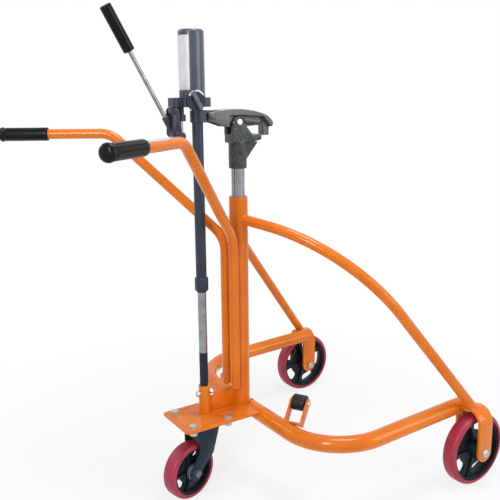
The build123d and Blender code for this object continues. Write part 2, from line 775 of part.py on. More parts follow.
# Pump head casting with the seat of the reservoir
def make_pump_head():
    head = block(jack_x - head_rear, jack_x + head_front, -head_wing, head_wing, head_z, head_top_z)
    middle = reservoir_od / 2 + seat_rim
    head += block(reservoir_x - middle, reservoir_x + middle, -head_half_width, head_half_width,
                  head_z, head_top_z)
    head = fillet(head.edges().filter_by(Axis.Z), head_round)
    tower_x = jack_x - head_rear + head_wing + seat_rim
    tower = block(tower_x, tower_x + tower_width, -head_half_width, -head_half_width + tower_depth,
                  head_z, head_z + tower_height)
    lug = block(fulcrum_x - lug_half_width, fulcrum_x + lug_half_width, -lug_half_width, lug_half_width,
                link_pin_z, head_z)
    lug += cross_rod(lug_half_width, fulcrum_x, link_pin_z, -lug_half_width, lug_half_width)
    head = head + tower + lug
    head -= cross_rod(link_pin_d / 2, fulcrum_x, link_pin_z, -head_half_width, head_half_width)
    head -= post(reservoir_od / 2, reservoir_x, 0, head_top_z, head_top_z + tower_height)
    head += post(reservoir_od / 2 - reservoir_wall, reservoir_x, 0, head_top_z, head_top_z + reservoir_seat)
    stem = cross_rod(valve_stem_d / 2 + pivot_gap, valve_x, valve_z,
                     -head_half_width - dial_thickness, -head_half_width + valve_stem_depth)
    parts["pump_head"] = head - stem
    dial = cross_rod(dial_radius, valve_x, valve_z, -head_half_width - dial_thickness, -head_half_width)
    parts["valve_dial"] = dial - stem
    top_z = head_top_z + reservoir_height
    tank = post(reservoir_od / 2, reservoir_x, 0, head_top_z, top_z)
    tank = fillet(tank.edges().sort_by(Axis.Z)[-1:], reservoir_round)
    tank -= post(reservoir_od / 2 - reservoir_wall, reservoir_x, 0, head_top_z, top_z - reservoir_round)
    plug_z = top_z - plug_drop
    side = reservoir_od / 2
    hole = cross_rod(plug_d / 2, reservoir_x, plug_z, 0, side + plug_height)
    parts["reservoir"] = tank - hole
    parts["filler_plug"] = hole - cross_rod(plug_d / 2, reservoir_x, plug_z, 0, side - reservoir_wall)


def make_release_lever():
    bar = Box(release_width, release_thickness, release_length)
    bar = fillet(bar.edges().filter_by(Axis.Y), release_width / 2 - face_gap)
    y_bar = -head_half_width - dial_thickness - face_gap - release_thickness / 2
    bar = Pos(valve_x, y_bar, valve_z) * Rot(0, -release_angle, 0) * bar
    stem = cross_rod(valve_stem_d / 2, valve_x, valve_z, y_bar,
                     -head_half_width + valve_stem_depth - face_gap)
    parts["release_lever"] = bar + stem


# Hand pump under the rear of the head: cylinder, plunger, hanging link and lever
def make_pump():
    cylinder = post(pump_neck_d / 2, pump_x, 0, pump_top_z, head_z)
    cylinder += post(pump_od / 2, pump_x, 0, pump_bottom_z, pump_top_z)
    bore = post(plunger_d / 2 + slide_gap, pump_x, 0, pump_bottom_z, head_z)
    parts["pump_cylinder"] = cylinder - bore
    eye_top = heel_z + plunger_eye / 2
    plunger = post(plunger_d / 2, pump_x, 0, eye_top, pump_top_z - plunger_drop)
    plunger += block(pump_x - plunger_eye_length / 2, pump_x + plunger_eye_length / 2,
                     -plunger_eye_width / 2, plunger_eye_width / 2, heel_z - plunger_eye / 2, eye_top)
    slot_r = heel_pin_d / 2 + heel_play
    for shift in (-heel_slot / 2, heel_slot / 2):
        plunger -= cross_rod(slot_r, pump_x + shift, heel_z, -plunger_eye_width, plunger_eye_width)
    plunger -= block(pump_x - heel_slot / 2, pump_x + heel_slot / 2, -plunger_eye_width, plunger_eye_width,
                     heel_z - slot_r, heel_z + slot_r)
    parts["pump_plunger"] = plunger
    inner = link_half_gap
    outer = link_half_gap + link_plate
    plate = block(fulcrum_x - link_width / 2, fulcrum_x + link_width / 2, inner, outer, fulcrum_z, link_pin_z)
    for z in (fulcrum_z, link_pin_z):
        plate += cross_rod(link_width / 2, fulcrum_x, z, inner, outer)
    plate -= cross_rod(link_pin_d / 2, fulcrum_x, link_pin_z, inner, outer)
    plate -= cross_rod(link_pin_d / 2 + pivot_gap, fulcrum_x, fulcrum_z, inner, outer)
    parts["pump_link"] = with_mirror(plate)
    for name, z in (("link_pin", link_pin_z), ("fulcrum_pin", fulcrum_z)):
        pin = cross_rod(link_pin_d / 2, fulcrum_x, z, -outer - face_gap, outer + face_gap)
        for y0, y1 in ((-outer - face_gap - link_head, -outer - face_gap),
                       (outer + face_gap, outer + face_gap + link_head)):
            pin += cross_rod(link_head_d / 2, fulcrum_x, z, y0, y1)
        parts[name] = pin


def make_lever():
    half = lever_half_width
    inner = plunger_eye_width / 2 + face_gap
    socket = rod_between(fulcrum + lever_dir * lever_socket_start, fulcrum + lever_dir * lever_socket_end,
                         lever_socket_od / 2)
    socket += cross_rod(lever_hub, fulcrum_x, fulcrum_z, -half, half)
    heel = side_plate([(fulcrum_x, fulcrum_z + heel_boss), (pump_x, heel_z + heel_boss),
                       (pump_x, heel_z - heel_boss), (fulcrum_x, fulcrum_z - heel_boss)], inner, half)
    heel += cross_rod(heel_boss, pump_x, heel_z, inner, half)
    heel_pin = cross_rod(heel_pin_d / 2, pump_x, heel_z, -half, half)
    socket = socket + heel + mirror(heel, about=Plane.XZ) + heel_pin
    seat = fulcrum + lever_dir * (lever_socket_end - lever_rod_seat)
    tip = fulcrum + lever_dir * lever_length
    rod_end = tip - lever_dir * lever_grip_round
    socket -= rod_between(seat, tip, lever_rod_d / 2)
    socket -= cross_rod(link_pin_d / 2, fulcrum_x, fulcrum_z, -half, half)
    parts["lever_socket"] = socket
    parts["lever_rod"] = rod_between(seat, rod_end, lever_rod_d / 2)
    grip = rod_between(tip - lever_dir * lever_grip_length, tip, lever_grip_od / 2)
    ends = grip.edges().filter_by(GeomType.CIRCLE).sort_by(Axis.Z)
    grip = fillet(ends[-1:], lever_grip_round)
    parts["lever_grip"] = grip - rod_between(seat, rod_end, lever_rod_d / 2)


def write_parts():
    os.makedirs("parts", exist_ok=True)
    for name, solid in parts.items():
        export_step(Pos(-origin_x, 0, 0) * solid, "parts/" + name + ".step")


make_legs()
make_plate()
make_mast()
make_pole()
make_handles()
make_braces()
make_forks()
make_front_wheels()
make_caster()
make_rollers()
make_jack_foot()
make_jack_tube()
make_clamp_head()
make_beak()
make_collar()
make_pump_head()
make_release_lever()
make_pump()
make_lever()
write_parts()
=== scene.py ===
import bpy
import bmesh
import json
import math
from mathutils import Matrix, Vector


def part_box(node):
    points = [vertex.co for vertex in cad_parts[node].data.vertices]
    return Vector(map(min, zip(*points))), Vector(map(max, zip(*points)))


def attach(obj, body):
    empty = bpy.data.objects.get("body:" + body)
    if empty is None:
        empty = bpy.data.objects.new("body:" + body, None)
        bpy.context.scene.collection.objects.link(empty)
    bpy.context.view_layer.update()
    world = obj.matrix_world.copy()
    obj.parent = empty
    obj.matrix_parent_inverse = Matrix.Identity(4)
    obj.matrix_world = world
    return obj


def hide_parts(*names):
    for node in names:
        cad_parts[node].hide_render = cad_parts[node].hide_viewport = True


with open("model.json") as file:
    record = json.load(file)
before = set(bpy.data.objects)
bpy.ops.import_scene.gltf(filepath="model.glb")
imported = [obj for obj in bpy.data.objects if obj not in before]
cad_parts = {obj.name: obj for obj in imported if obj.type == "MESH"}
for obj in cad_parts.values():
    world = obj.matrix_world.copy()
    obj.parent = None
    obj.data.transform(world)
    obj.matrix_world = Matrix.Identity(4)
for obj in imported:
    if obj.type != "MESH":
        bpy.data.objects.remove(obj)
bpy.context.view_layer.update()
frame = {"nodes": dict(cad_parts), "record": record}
nodes = frame["nodes"]
slotOf = {row["node"]: row["material_slot"] for row in frame["record"]["subparts"]}
bodyOf = {node: body for body, names in frame["record"]["behaviour"]["bodies"].items() for node in names}
mm = 0.001
upward = Vector((0, 0, 1))


def low(nodeName):  # a node's lowest corner at rest, millimetres
    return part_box(nodeName)[0] / mm


def high(nodeName):  # its highest corner
    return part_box(nodeName)[1] / mm


def middle(nodeName):  # the middle of its box
    return (low(nodeName) + high(nodeName)) / 2


# Shader sockets as plain maths, and one way to put a node down

class Wire:
    def __init__(self, board, socket):
        self.board = board
        self.socket = socket

    def calc(self, operation, a, b):
        return self.board.put("Math", {"operation": operation}, {0: a, 1: b})

    def __add__(self, other):
        return self.calc("ADD", self, other)

    def __radd__(self, other):
        return self.calc("ADD", other, self)

    def __sub__(self, other):
        return self.calc("SUBTRACT", self, other)

    def __rsub__(self, other):
        return self.calc("SUBTRACT", other, self)

    def __mul__(self, other):
        return self.calc("MULTIPLY", self, other)

    def __rmul__(self, other):
        return self.calc("MULTIPLY", other, self)


class Board:
    def __init__(self, tree):
        self.tree = tree
        self.here = None  # where a surface's patterns are read
        tree.nodes.clear()

    def put(self, kind, settings=None, inputs=None, out=0):
        node = self.tree.nodes.new("ShaderNode" + kind)
        for key, value in (settings or {}).items():
            setattr(node, key, value)
        for key, value in (inputs or {}).items():
            if isinstance(value, Wire):
                self.tree.links.new(value.socket, node.inputs[key])
            else:
                node.inputs[key].default_value = value
        return Wire(self, node.outputs[out]) if len(node.outputs) else None

    def mapped(self, turn=(0, 0, 0), scale=(1, 1, 1)):
        return self.put("Mapping", None, {"Vector": self.here, "Rotation": turn, "Scale": scale})

    def noise(self, size, detail, rough=0.5, stretch=None):  # size: lumps to the metre
        where = self.mapped(scale=stretch) if stretch else self.here
        return self.put("TexNoise", None,
                        {"Vector": where, "Scale": size, "Detail": detail, "Roughness": rough})

    def cells(self, size):
        return self.put("TexVoronoi", None, {"Vector": self.here, "Scale": size})

    def ramp(self, value, start, end):  # 0 at start, 1 at end, smooth between
        return self.put("MapRange", {"interpolation_type": "SMOOTHSTEP"},
                        {"Value": value, "From Min": start, "From Max": end})

    def patches(self, noise, band):
        return self.ramp(self.noise(*noise), *band)

    def mix(self, share, a, b):
        return self.put("Mix", {"data_type": "RGBA"}, {0: share, 6: a, 7: b}, out=2)

    def facingUp(self):
        return self.put("SeparateXYZ", None, {0: self.put("NewGeometry", out="Normal")}, out="Z")

    def bump(self, height, depth):  # depth in metres
        return self.put("Bump", None, {"Height": height, "Distance": depth, "Strength": 1.0})

    def surface(self, **inputs):
        named = {key.replace("_", " "): value for key, value in inputs.items()}
        self.finish(self.put("BsdfPrincipled", None, named))

    def finish(self, shader, kind="OutputMaterial"):
        self.put(kind, None, {"Surface": shader})


def linear(r, g, b):  # a colour read as 0 to 255 on a screen, for a socket
    def one(v):
        v /= 255
        return v / 12.92 if v <= 0.04045 else ((v + 0.055) / 1.055) ** 2.4
    return (one(r), one(g), one(b), 1.0)


def newMaterial(name):
    material = bpy.data.materials.new(name)
    material.use_nodes = True
    b = Board(material.node_tree)
    b.here = b.put("TexCoord", out="Object")
    return material, b


# Finishes: a noise is its size, detail, roughness and stretch, a band is where a ramp starts and ends

def orangeEnamel():
    look = {"paint": linear(228, 122, 6), "deep": linear(216, 106, 4), "dust": linear(230, 176, 128),
            "tone": (7.0, 4.0), "toneBand": (0.3, 0.75), "peel": (330.0, 2.0), "fine": (1900.0, 1.0),
            "fineShare": 0.15, "depth": 0.000005, "settled": ((12.0, 2.0), (0.4, 0.75)),
            "upBand": (0.55, 1.0), "dustShare": 0.12}
    material, b = newMaterial("orangeEnamel")
    tone = b.noise(*look["tone"])
    peel = b.noise(*look["peel"]) + look["fineShare"] * b.noise(*look["fine"])
    dust = b.ramp(b.facingUp(), *look["upBand"]) * b.patches(*look["settled"])
    colour = b.mix(b.ramp(tone, *look["toneBand"]), look["paint"], look["deep"])
    b.surface(Base_Color=b.mix(dust * look["dustShare"], colour, look["dust"]),
              Roughness=0.36 + 0.10 * tone + 0.12 * dust, Coat_Weight=0.9 - 0.2 * dust, Coat_Roughness=0.1,
              Coat_IOR=1.36, Specular_IOR_Level=0.1, Normal=b.bump(peel, look["depth"]))
    return material


jackSlate = {"paint": (46, 53, 70), "deep": (38, 43, 57), "worn": (72, 79, 96),
             "coat": 0.6, "gloss": 1.42}
# The reservoir's slate: its colour is painted lighter than the jack's, as painted light on the jack's
# highest part; its coat is fuller and glossier
reservoirSlatePaintedLight = {"paint": (64, 73, 86), "deep": (56, 64, 76), "worn": (84, 93, 106),
                  "coat": 1.0, "gloss": 1.5}


def slatePaint(name, look):
    wear = {"tone": (11.0, 4.0), "toneBand": (0.3, 0.75), "peel": (420.0, 2.0), "depth": 0.000006,
            "rub": ((1.0, 5.0, 0.7, (60, 60, 9)), (0.55, 0.85)), "rubShare": 0.5}
    material, b = newMaterial(name)
    tone = b.noise(*wear["tone"])
    peel = b.noise(*wear["peel"])
    rub = b.patches(*wear["rub"])
    colour = b.mix(b.ramp(tone, *wear["toneBand"]), linear(*look["paint"]), linear(*look["deep"]))
    b.surface(Base_Color=b.mix(rub * wear["rubShare"], colour, linear(*look["worn"])),
              Roughness=0.4 + 0.10 * tone + 0.08 * rub, Coat_Weight=look["coat"] - 0.2 * rub,
              Coat_Roughness=0.26, Coat_IOR=look["gloss"], Specular_IOR_Level=0.1,
              Normal=b.bump(peel, wear["depth"]))
    return material


# Cast-iron looks: crown is the share of a painted highlight on upper faces, sparkle the share of painted
# glints in the grains
headIron = {"sparkle": 0.7, "crown": 0.68, "coat": 0.3, "gloss": 0.26}
beakIron = {"sparkle": 0.75, "crown": 0.75, "coat": 0.9, "gloss": 0.5}


def roughCasting(name, look):  # sparkle: share of the light colour in the grains, partly real grain and partly painted glints; crown: share of the light colour on upper faces, a painted highlight from the light above
    iron = {"plain": linear(46, 52, 53), "light": linear(150, 157, 157), "dark": linear(15, 19, 20),
            "grain": (620.0, 4.0, 0.6), "grainBand": (0.5, 0.74), "lumps": (150.0, 4.0, 0.55),
            "tone": (28.0, 5.0, 0.6), "toneBand": (0.32, 0.7), "pitSize": 330.0, "pitBand": (0.0, 0.35),
            "upBand": (0.05, 0.8), "depth": 0.00042}
    material, b = newMaterial(name)
    grain = b.noise(*iron["grain"])
    lumps = b.noise(*iron["lumps"])
    tone = b.noise(*iron["tone"])
    pits = b.ramp(b.cells(iron["pitSize"]), *iron["pitBand"])
    colour = b.mix(b.ramp(tone, *iron["toneBand"]), iron["dark"], iron["plain"])
    # painted glints: the grains are mixed towards the light colour, partly a real grain and partly glints
    # painted in
    colour = b.mix(b.ramp(grain, *iron["grainBand"]) * look["sparkle"], colour, iron["light"])
    # painted highlight: upper faces are mixed towards the light colour, as if lit from above
    colour = b.mix(b.ramp(b.facingUp(), *iron["upBand"]) * look["crown"], colour, iron["light"])
    b.surface(Base_Color=colour, Roughness=0.30 + 0.2 * grain, Coat_Weight=look["coat"] * tone,
              Coat_Roughness=0.2, Specular_IOR_Level=look["gloss"],
              Normal=b.bump(lumps * 1.2 + grain * 0.5 + pits * 0.25, iron["depth"]))
    return material


def brightRod(name, lean):  # drawn bar: fine lines run along it, and lean turns them with the bar
    look = {"light": linear(150, 153, 159), "dull": linear(120, 123, 130), "film": (40.0, 4.0, 0.6),
            "filmBand": (0.35, 0.8), "draw": (1.0, 2.0, 0.5, (260, 260, 3)), "depth": 0.000003}
    material, b = newMaterial(name)
    b.here = b.mapped(turn=(0, lean, 0))
    draw = b.noise(*look["draw"])
    film = b.noise(*look["film"])
    b.surface(Base_Color=b.mix(b.ramp(film, *look["filmBand"]), look["light"], look["dull"]), Metallic=1.0,
              Roughness=0.15 + 0.06 * draw + 0.06 * film, Normal=b.bump(draw, look["depth"]))
    return material


def zincPlate(name, light, dull):
    look = {"spangle": 800.0, "tone": (180.0, 4.0, 0.6), "toneBand": (0.3, 0.75), "depth": 0.00003}
    material, b = newMaterial(name)
    spangle = b.cells(look["spangle"])
    tone = b.noise(*look["tone"])
    b.surface(Base_Color=b.mix(b.ramp(tone, *look["toneBand"]), linear(*light), linear(*dull)),
              Metallic=0.85, Roughness=0.30 + 0.18 * tone, Normal=b.bump(spangle + tone, look["depth"]))
    return material


def gripRubber():
    look = {"black": linear(8, 9, 9), "grey": linear(22, 23, 22), "bloom": (30.0, 5.0, 0.62),
            "bloomBand": (0.4, 0.85), "bloomShare": 0.6, "stipple": (1500.0, 2.0), "mould": (260.0, 2.0),
            "mouldShare": 0.6, "depth": 0.00003}
    material, b = newMaterial("gripRubber")
    bloom = b.noise(*look["bloom"])
    skin = b.noise(*look["stipple"]) + look["mouldShare"] * b.noise(*look["mould"])
    shade = b.ramp(bloom, *look["bloomBand"]) * look["bloomShare"]
    b.surface(Base_Color=b.mix(shade, look["black"], look["grey"]), Roughness=0.17 + 0.14 * bloom,
              Coat_Weight=0.06 * bloom, Coat_Roughness=0.12, Specular_IOR_Level=0.16,
              Normal=b.bump(skin, look["depth"]))
    return material


def crimsonTyre():
    look = {"tyre": linear(170, 40, 68), "deep": linear(142, 28, 52), "dust": linear(180, 106, 112),
            "tone": (24.0, 4.0, 0.55), "toneBand": (0.3, 0.8), "mould": (300.0, 3.0), "depth": 0.00012,
            "scuff": ((1.0, 6.0, 0.7, (18, 160, 18)), (0.55, 0.9)), "scuffShare": 0.28}
    material, b = newMaterial("crimsonTyre")
    tone = b.noise(*look["tone"])
    mould = b.noise(*look["mould"])
    scuff = b.patches(*look["scuff"])
    colour = b.mix(b.ramp(tone, *look["toneBand"]), look["tyre"], look["deep"])
    b.surface(Base_Color=b.mix(scuff * look["scuffShare"], colour, look["dust"]),
              Roughness=0.34 + 0.16 * tone + 0.14 * scuff, Specular_IOR_Level=0.5,
              Normal=b.bump(mould + 0.5 * scuff, look["depth"]))
    return material


def darkHub():
    look = {"dark": linear(8, 20, 27), "light": linear(20, 35, 43), "tone": (36.0, 4.0, 0.6),
            "toneBand": (0.35, 0.8), "grain": (900.0, 2.0), "depth": 0.0001}
    material, b = newMaterial("darkHub")
    tone = b.noise(*look["tone"])
    grain = b.noise(*look["grain"])
    b.surface(Base_Color=b.mix(b.ramp(tone, *look["toneBand"]), look["dark"], look["light"]),
              Roughness=0.36 + 0.22 * tone, Coat_Weight=0.1 * tone, Coat_Roughness=0.25,
              Specular_IOR_Level=0.22, Normal=b.bump(grain + tone, look["depth"]))
    return material


def casterPaint():
    look = {"paint": linear(28, 50, 66), "deep": linear(20, 38, 52), "worn": linear(70, 88, 104),
            "tone": (30.0, 4.0, 0.6), "toneBand": (0.3, 0.8), "peel": (480.0, 2.0), "depth": 0.00004,
            "rub": ((95.0, 6.0, 0.72), (0.6, 0.82)), "rubShare": 0.35}
    material, b = newMaterial("casterPaint")
    tone = b.noise(*look["tone"])
    peel = b.noise(*look["peel"])
    rub = b.patches(*look["rub"])
    colour = b.mix(b.ramp(tone, *look["toneBand"]), look["paint"], look["deep"])
    b.surface(Base_Color=b.mix(rub * look["rubShare"], colour, look["worn"]),
              Roughness=0.34 + 0.16 * tone + 0.1 * rub, Coat_Weight=0.15 - 0.1 * rub, Coat_Roughness=0.18,
              Specular_IOR_Level=0.12, Normal=b.bump(peel, look["depth"]))
    return material


def darkPlastic(name, dark, light):
    look = {"tone": (60.0, 4.0), "grain": (1300.0, 2.0), "depth": 0.00006}
    material, b = newMaterial(name)
    tone = b.noise(*look["tone"])
    grain = b.noise(*look["grain"])
    b.surface(Base_Color=b.mix(tone, linear(*dark), linear(*light)), Roughness=0.38 + 0.2 * tone,
              Specular_IOR_Level=0.3, Normal=b.bump(grain, look["depth"]))
    return material


def valveGrey():
    look = {"light": linear(86, 90, 108), "dark": linear(68, 72, 88), "worn": linear(124, 128, 140),
            "tone": (90.0, 4.0), "rub": ((210.0, 5.0, 0.7), (0.5, 0.8)), "rubShare": 0.5,
            "grain": (700.0, 2.0), "depth": 0.00006}
    material, b = newMaterial("valveGrey")
    tone = b.noise(*look["tone"])
    grain = b.noise(*look["grain"])
    rub = b.patches(*look["rub"])
    colour = b.mix(tone, look["light"], look["dark"])
    b.surface(Base_Color=b.mix(rub * look["rubShare"], colour, look["worn"]), Roughness=0.34 + 0.2 * tone,
              Coat_Weight=0.2 * tone, Coat_Roughness=0.2, Normal=b.bump(grain, look["depth"]))
    return material


def whitePanel(name, light, dull):
    look = {"tone": (45.0, 5.0, 0.6), "toneBand": (0.35, 0.8), "fibre": (1600.0, 2.0), "depth": 0.00002}
    material, b = newMaterial(name)
    tone = b.noise(*look["tone"])
    fibre = b.noise(*look["fibre"])
    b.surface(Base_Color=b.mix(b.ramp(tone, *look["toneBand"]), linear(*light), linear(*dull)),
              Roughness=0.30 + 0.14 * tone, Coat_Weight=0.2 * tone, Coat_Roughness=0.15,
              Normal=b.bump(fibre, look["depth"]))
    return material


def darkSleeve():
    look = {"light": linear(30, 27, 44), "dark": linear(22, 20, 33), "worn": linear(60, 57, 74),
            "tone": (50.0, 4.0), "scuff": ((1.0, 5.0, 0.7, (90, 90, 10)), (0.55, 0.85)), "scuffShare": 0.4,
            "grain": (900.0, 2.0), "depth": 0.00003}
    material, b = newMaterial("darkSleeve")
    tone = b.noise(*look["tone"])
    grain = b.noise(*look["grain"])
    scuff = b.patches(*look["scuff"])
    colour = b.mix(tone, look["light"], look["dark"])
    b.surface(Base_Color=b.mix(scuff * look["scuffShare"], colour, look["worn"]),
              Roughness=0.46 + 0.16 * tone, Specular_IOR_Level=0.3, Normal=b.bump(grain, look["depth"]))
    return material


lever = {"lean": math.radians(29), "tip": 324}  # the pump lever leans back, tip this far from the fulcrum
finishes = {"frame_paint": orangeEnamel(),
            "jack_paint": slatePaint("jackSlate", jackSlate),
            "cast_clamp": roughCasting("headIron", headIron),
            "bright_rod": brightRod("brightRod", 0.0),
            "plated_steel": zincPlate("zincPlate", (206, 205, 199), (166, 164, 159)),
            "black_rubber": gripRubber(),
            "red_tread": crimsonTyre(),
            "wheel_hub": darkHub(),
            "caster_paint": casterPaint(),
            "bush_plastic": darkPlastic("bushNylon", (15, 15, 16), (30, 30, 30)),
            "roller_plastic": darkPlastic("rollerNylon", (13, 13, 14), (28, 28, 28)),
            "dial_plastic": darkPlastic("dialNylon", (24, 28, 40), (38, 43, 58)),
            "valve_lever": valveGrey()}
ownFinish = {"rod_sleeve": darkSleeve(),  # nodes that differ from the rest of their slot
             "lever_rod": brightRod("leverRod", lever["lean"]),
             # the reservoir's lighter slate is painted light
             "reservoir": slatePaint("reservoirSlatePaintedLight", reservoirSlatePaintedLight),
             "caster_axle": zincPlate("agedZinc", (128, 132, 134), (84, 90, 94)),
             "beak": roughCasting("beakIron", beakIron)}
trimFinish = {"panel": whitePanel("panelWhite", (222, 222, 225), (212, 212, 216)),
              "stickerEdge": whitePanel("panelEdge", (150, 138, 152), (132, 122, 136)),
              "sticker": whitePanel("stickerWhite", (206, 203, 205), (190, 187, 190)),
              "ring": zincPlate("ringZinc", (196, 200, 203), (150, 156, 160))}
print("finishes made:", len(finishes) + len(ownFinish) + len(trimFinish))
ownFinish["beak_pin"] = ownFinish["beak"]
for nodeName, nodeObject in nodes.items():
    nodeObject.data.materials.clear()
    nodeObject.data.materials.append(ownFinish.get(nodeName, finishes[slotOf[nodeName]]))


# Hand tools

leftRight = {"left": 1, "right": -1}
creases = {"cut": 35, "cast": 60}  # degrees: faces that meet at more than this keep a hard edge


def clearPicks():
    if bpy.context.mode != "OBJECT":
        bpy.ops.object.mode_set(mode="OBJECT")
    bpy.ops.object.select_all(action="DESELECT")


def pickOnly(piece):
    clearPicks()
    piece.select_set(True)
    bpy.context.view_layer.objects.active = piece


def editing(piece):
    pickOnly(piece)
    bpy.ops.object.mode_set(mode="EDIT")


def doneEditing(piece):
    bpy.ops.object.mode_set(mode="OBJECT")
    return piece


def pickFaces(piece, test):  # in edit mode, picks the faces whose middle and normal pass
    bpy.ops.mesh.select_mode(type="FACE")
    bpy.ops.mesh.select_all(action="DESELECT")
    shape = bmesh.from_edit_mesh(piece.data)
    for face in shape.faces:
        face.select_set(test(face.calc_center_median(), face.normal))
    bmesh.update_edit_mesh(piece.data)


def cutAway(plane, normal):  # in edit mode, cuts off what lies on the normal's side
    bpy.ops.mesh.select_all(action="SELECT")
    bpy.ops.mesh.bisect(plane_co=plane, plane_no=normal, use_fill=True, clear_outer=True)


def applyAll(piece):
    pickOnly(piece)
    for modifier in list(piece.modifiers):
        bpy.ops.object.modifier_apply(modifier=modifier.name)


def applyPlace(piece):
    pickOnly(piece)
    bpy.ops.object.transform_apply(location=True, rotation=True, scale=True)


def settle(piece, origin, axis=upward):  # stands a piece made along Z in its place, origin in millimetres
    turn = upward.rotation_difference(Vector(axis)).to_matrix().to_4x4()
    piece.matrix_world = Matrix.Translation(origin * mm) @ turn
    applyPlace(piece)


def joined(pieces):
    clearPicks()
    for piece in pieces:
        piece.select_set(True)
    bpy.context.view_layer.objects.active = pieces[0]
    if len(pieces) > 1:
        bpy.ops.object.join()
    return pieces[0]


def copied(piece):
    twin = bpy.data.objects.new(piece.name, piece.data.copy())
    bpy.context.scene.collection.objects.link(twin)
    return twin


def lifted(piece, height):  # moves a piece up its own axis before it is set in place
    editing(piece)
    bpy.ops.mesh.select_all(action="SELECT")
    bpy.ops.transform.translate(value=(0, 0, height * mm))
    return doneEditing(piece)


def spotsOf(piece, places):  # a copy set down at each place, and the piece itself at the last
    twins = [copied(piece) for i in range(len(places) - 1)] + [piece]
    for twin, (origin, axis) in zip(twins, places):
        settle(twin, origin, axis)
    return twins


def finishPiece(piece, name, body, slotName, material=None, crease="cut"):
    pickOnly(piece)
    piece.name = name
    piece.data.name = name
    bpy.ops.object.shade_smooth_by_angle(angle=math.radians(creases[crease]))
    piece.data.materials.clear()
    piece.data.materials.append(material or finishes[slotName])
    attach(piece, body)


def standFor(piece, name, nodeName, crease="cut"):  # the piece takes the node's place, body and finish
    finishPiece(piece, name, bodyOf[nodeName], slotOf[nodeName], ownFinish.get(nodeName), crease)
    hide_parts(nodeName)


def standPair(model, places, name, nodeName):  # the same for a left and a right node
    for piece, side in zip(spotsOf(model, places), leftRight):
        standFor(piece, name + side.title(), nodeName + side)


def skinOver(piece, voxel, steps):  # fuses what overlaps into one softened skin, voxel in millimetres
    remesh = piece.modifiers.new("skin", "REMESH")
    remesh.mode = "VOXEL"
    remesh.voxel_size = voxel * mm
    soften = piece.modifiers.new("soften", "SMOOTH")
    soften.factor = 0.5
    soften.iterations = steps
    applyAll(piece)


def copyNode(nodeName):  # the node's own mesh, merged, as a new piece
    piece = copied(nodes[nodeName])
    editing(piece)
    bpy.ops.mesh.select_all(action="SELECT")
    bpy.ops.mesh.remove_doubles(threshold=0.01 * mm)
    bpy.ops.mesh.customdata_custom_splitnormals_clear()
    return doneEditing(piece)


def castNode(nodeName, pieceName, voxel, steps, swells=()):  # rounds every corner, as a mould leaves it
    piece = joined([copyNode(nodeName)] + list(swells))
    skinOver(piece, voxel, steps)
    standFor(piece, pieceName, nodeName, "cast")


def easeNode(nodeName, pieceName, width):  # breaks the sharp edges of a cut or pressed piece
    edge = {"flat": 0.6, "sharp": 40, "segments": 2}
    piece = copyNode(nodeName)
    editing(piece)
    bpy.ops.mesh.select_all(action="SELECT")
    bpy.ops.mesh.dissolve_limited(angle_limit=math.radians(edge["flat"]))
    doneEditing(piece)
    bevel = piece.modifiers.new("ease", "BEVEL")
    bevel.limit_method = "ANGLE"
    bevel.angle_limit = math.radians(edge["sharp"])
    bevel.width = width * mm
    bevel.segments = edge["segments"]
    bevel.use_clamp_overlap = False
    applyAll(piece)
    standFor(piece, pieceName, nodeName)


# Turned work: rings of radius and height in millimetres, drawn out of a circle one after another

def turnPiece(profile, sides, closed=False):
    clearPicks()
    bpy.ops.mesh.primitive_circle_add(vertices=sides, radius=profile[0][0] * mm)
    piece = bpy.context.active_object
    bpy.ops.object.mode_set(mode="EDIT")
    bpy.ops.mesh.select_all(action="SELECT")
    bpy.ops.transform.translate(value=(0, 0, profile[0][1] * mm))
    for (lastRadius, lastHeight), (radius, height) in zip(profile, profile[1:]):
        rise = (0, 0, (height - lastHeight) * mm)
        bpy.ops.mesh.extrude_edges_move(TRANSFORM_OT_translate={"value": rise})
        share = radius / lastRadius
        bpy.ops.transform.resize(value=(share, share, 1), center_override=(0, 0, height * mm))
    bpy.ops.mesh.select_all(action="SELECT")
    if closed:
        bpy.ops.mesh.remove_doubles(threshold=0.002 * mm)
    else:
        bpy.ops.mesh.fill_holes(sides=0)
    bpy.ops.mesh.select_all(action="SELECT")
    bpy.ops.mesh.normals_make_consistent(inside=False)
    return doneEditing(piece)


def sweep(first, last, steps):  # angles from first to last in even steps, degrees in and radians out
    return [math.radians(first + (last - first) * i / steps) for i in range(steps + 1)]


def flipped(profile):  # the same outline upside down, from its other end
    return [(radius, -height) for radius, height in reversed(profile)]


def dome(radius, height, base, steps=6):  # profile points of a rounded end that starts at the base
    pole = 0.05  # the last ring's share of the radius
    curve = [(radius * math.cos(t), base + height * math.sin(t)) for t in sweep(0, 90, steps)[:-1]]
    return curve + [(radius * pole, base + height)]


def hexPiece(across, height, hole=0.0):  # six flats cut from a turned blank, so the corners stay round
    blank = {"inset": 0.2, "rise": 0.66, "sides": 72}
    corner = across / math.sqrt(3)
    face = across / 2 - blank["inset"]
    profile = [(face, 0), (corner, blank["rise"]), (corner, height - blank["rise"]), (face, height)]
    if hole:
        profile = [(hole, 0)] + profile + [(hole, height), (hole, 0)]
    piece = turnPiece(profile, blank["sides"], closed=bool(hole))
    editing(piece)
    for turn in sweep(0, 300, 5):
        flat = Vector((math.cos(turn), math.sin(turn), 0))
        cutAway(flat * across / 2 * mm, flat)
    return doneEditing(piece)


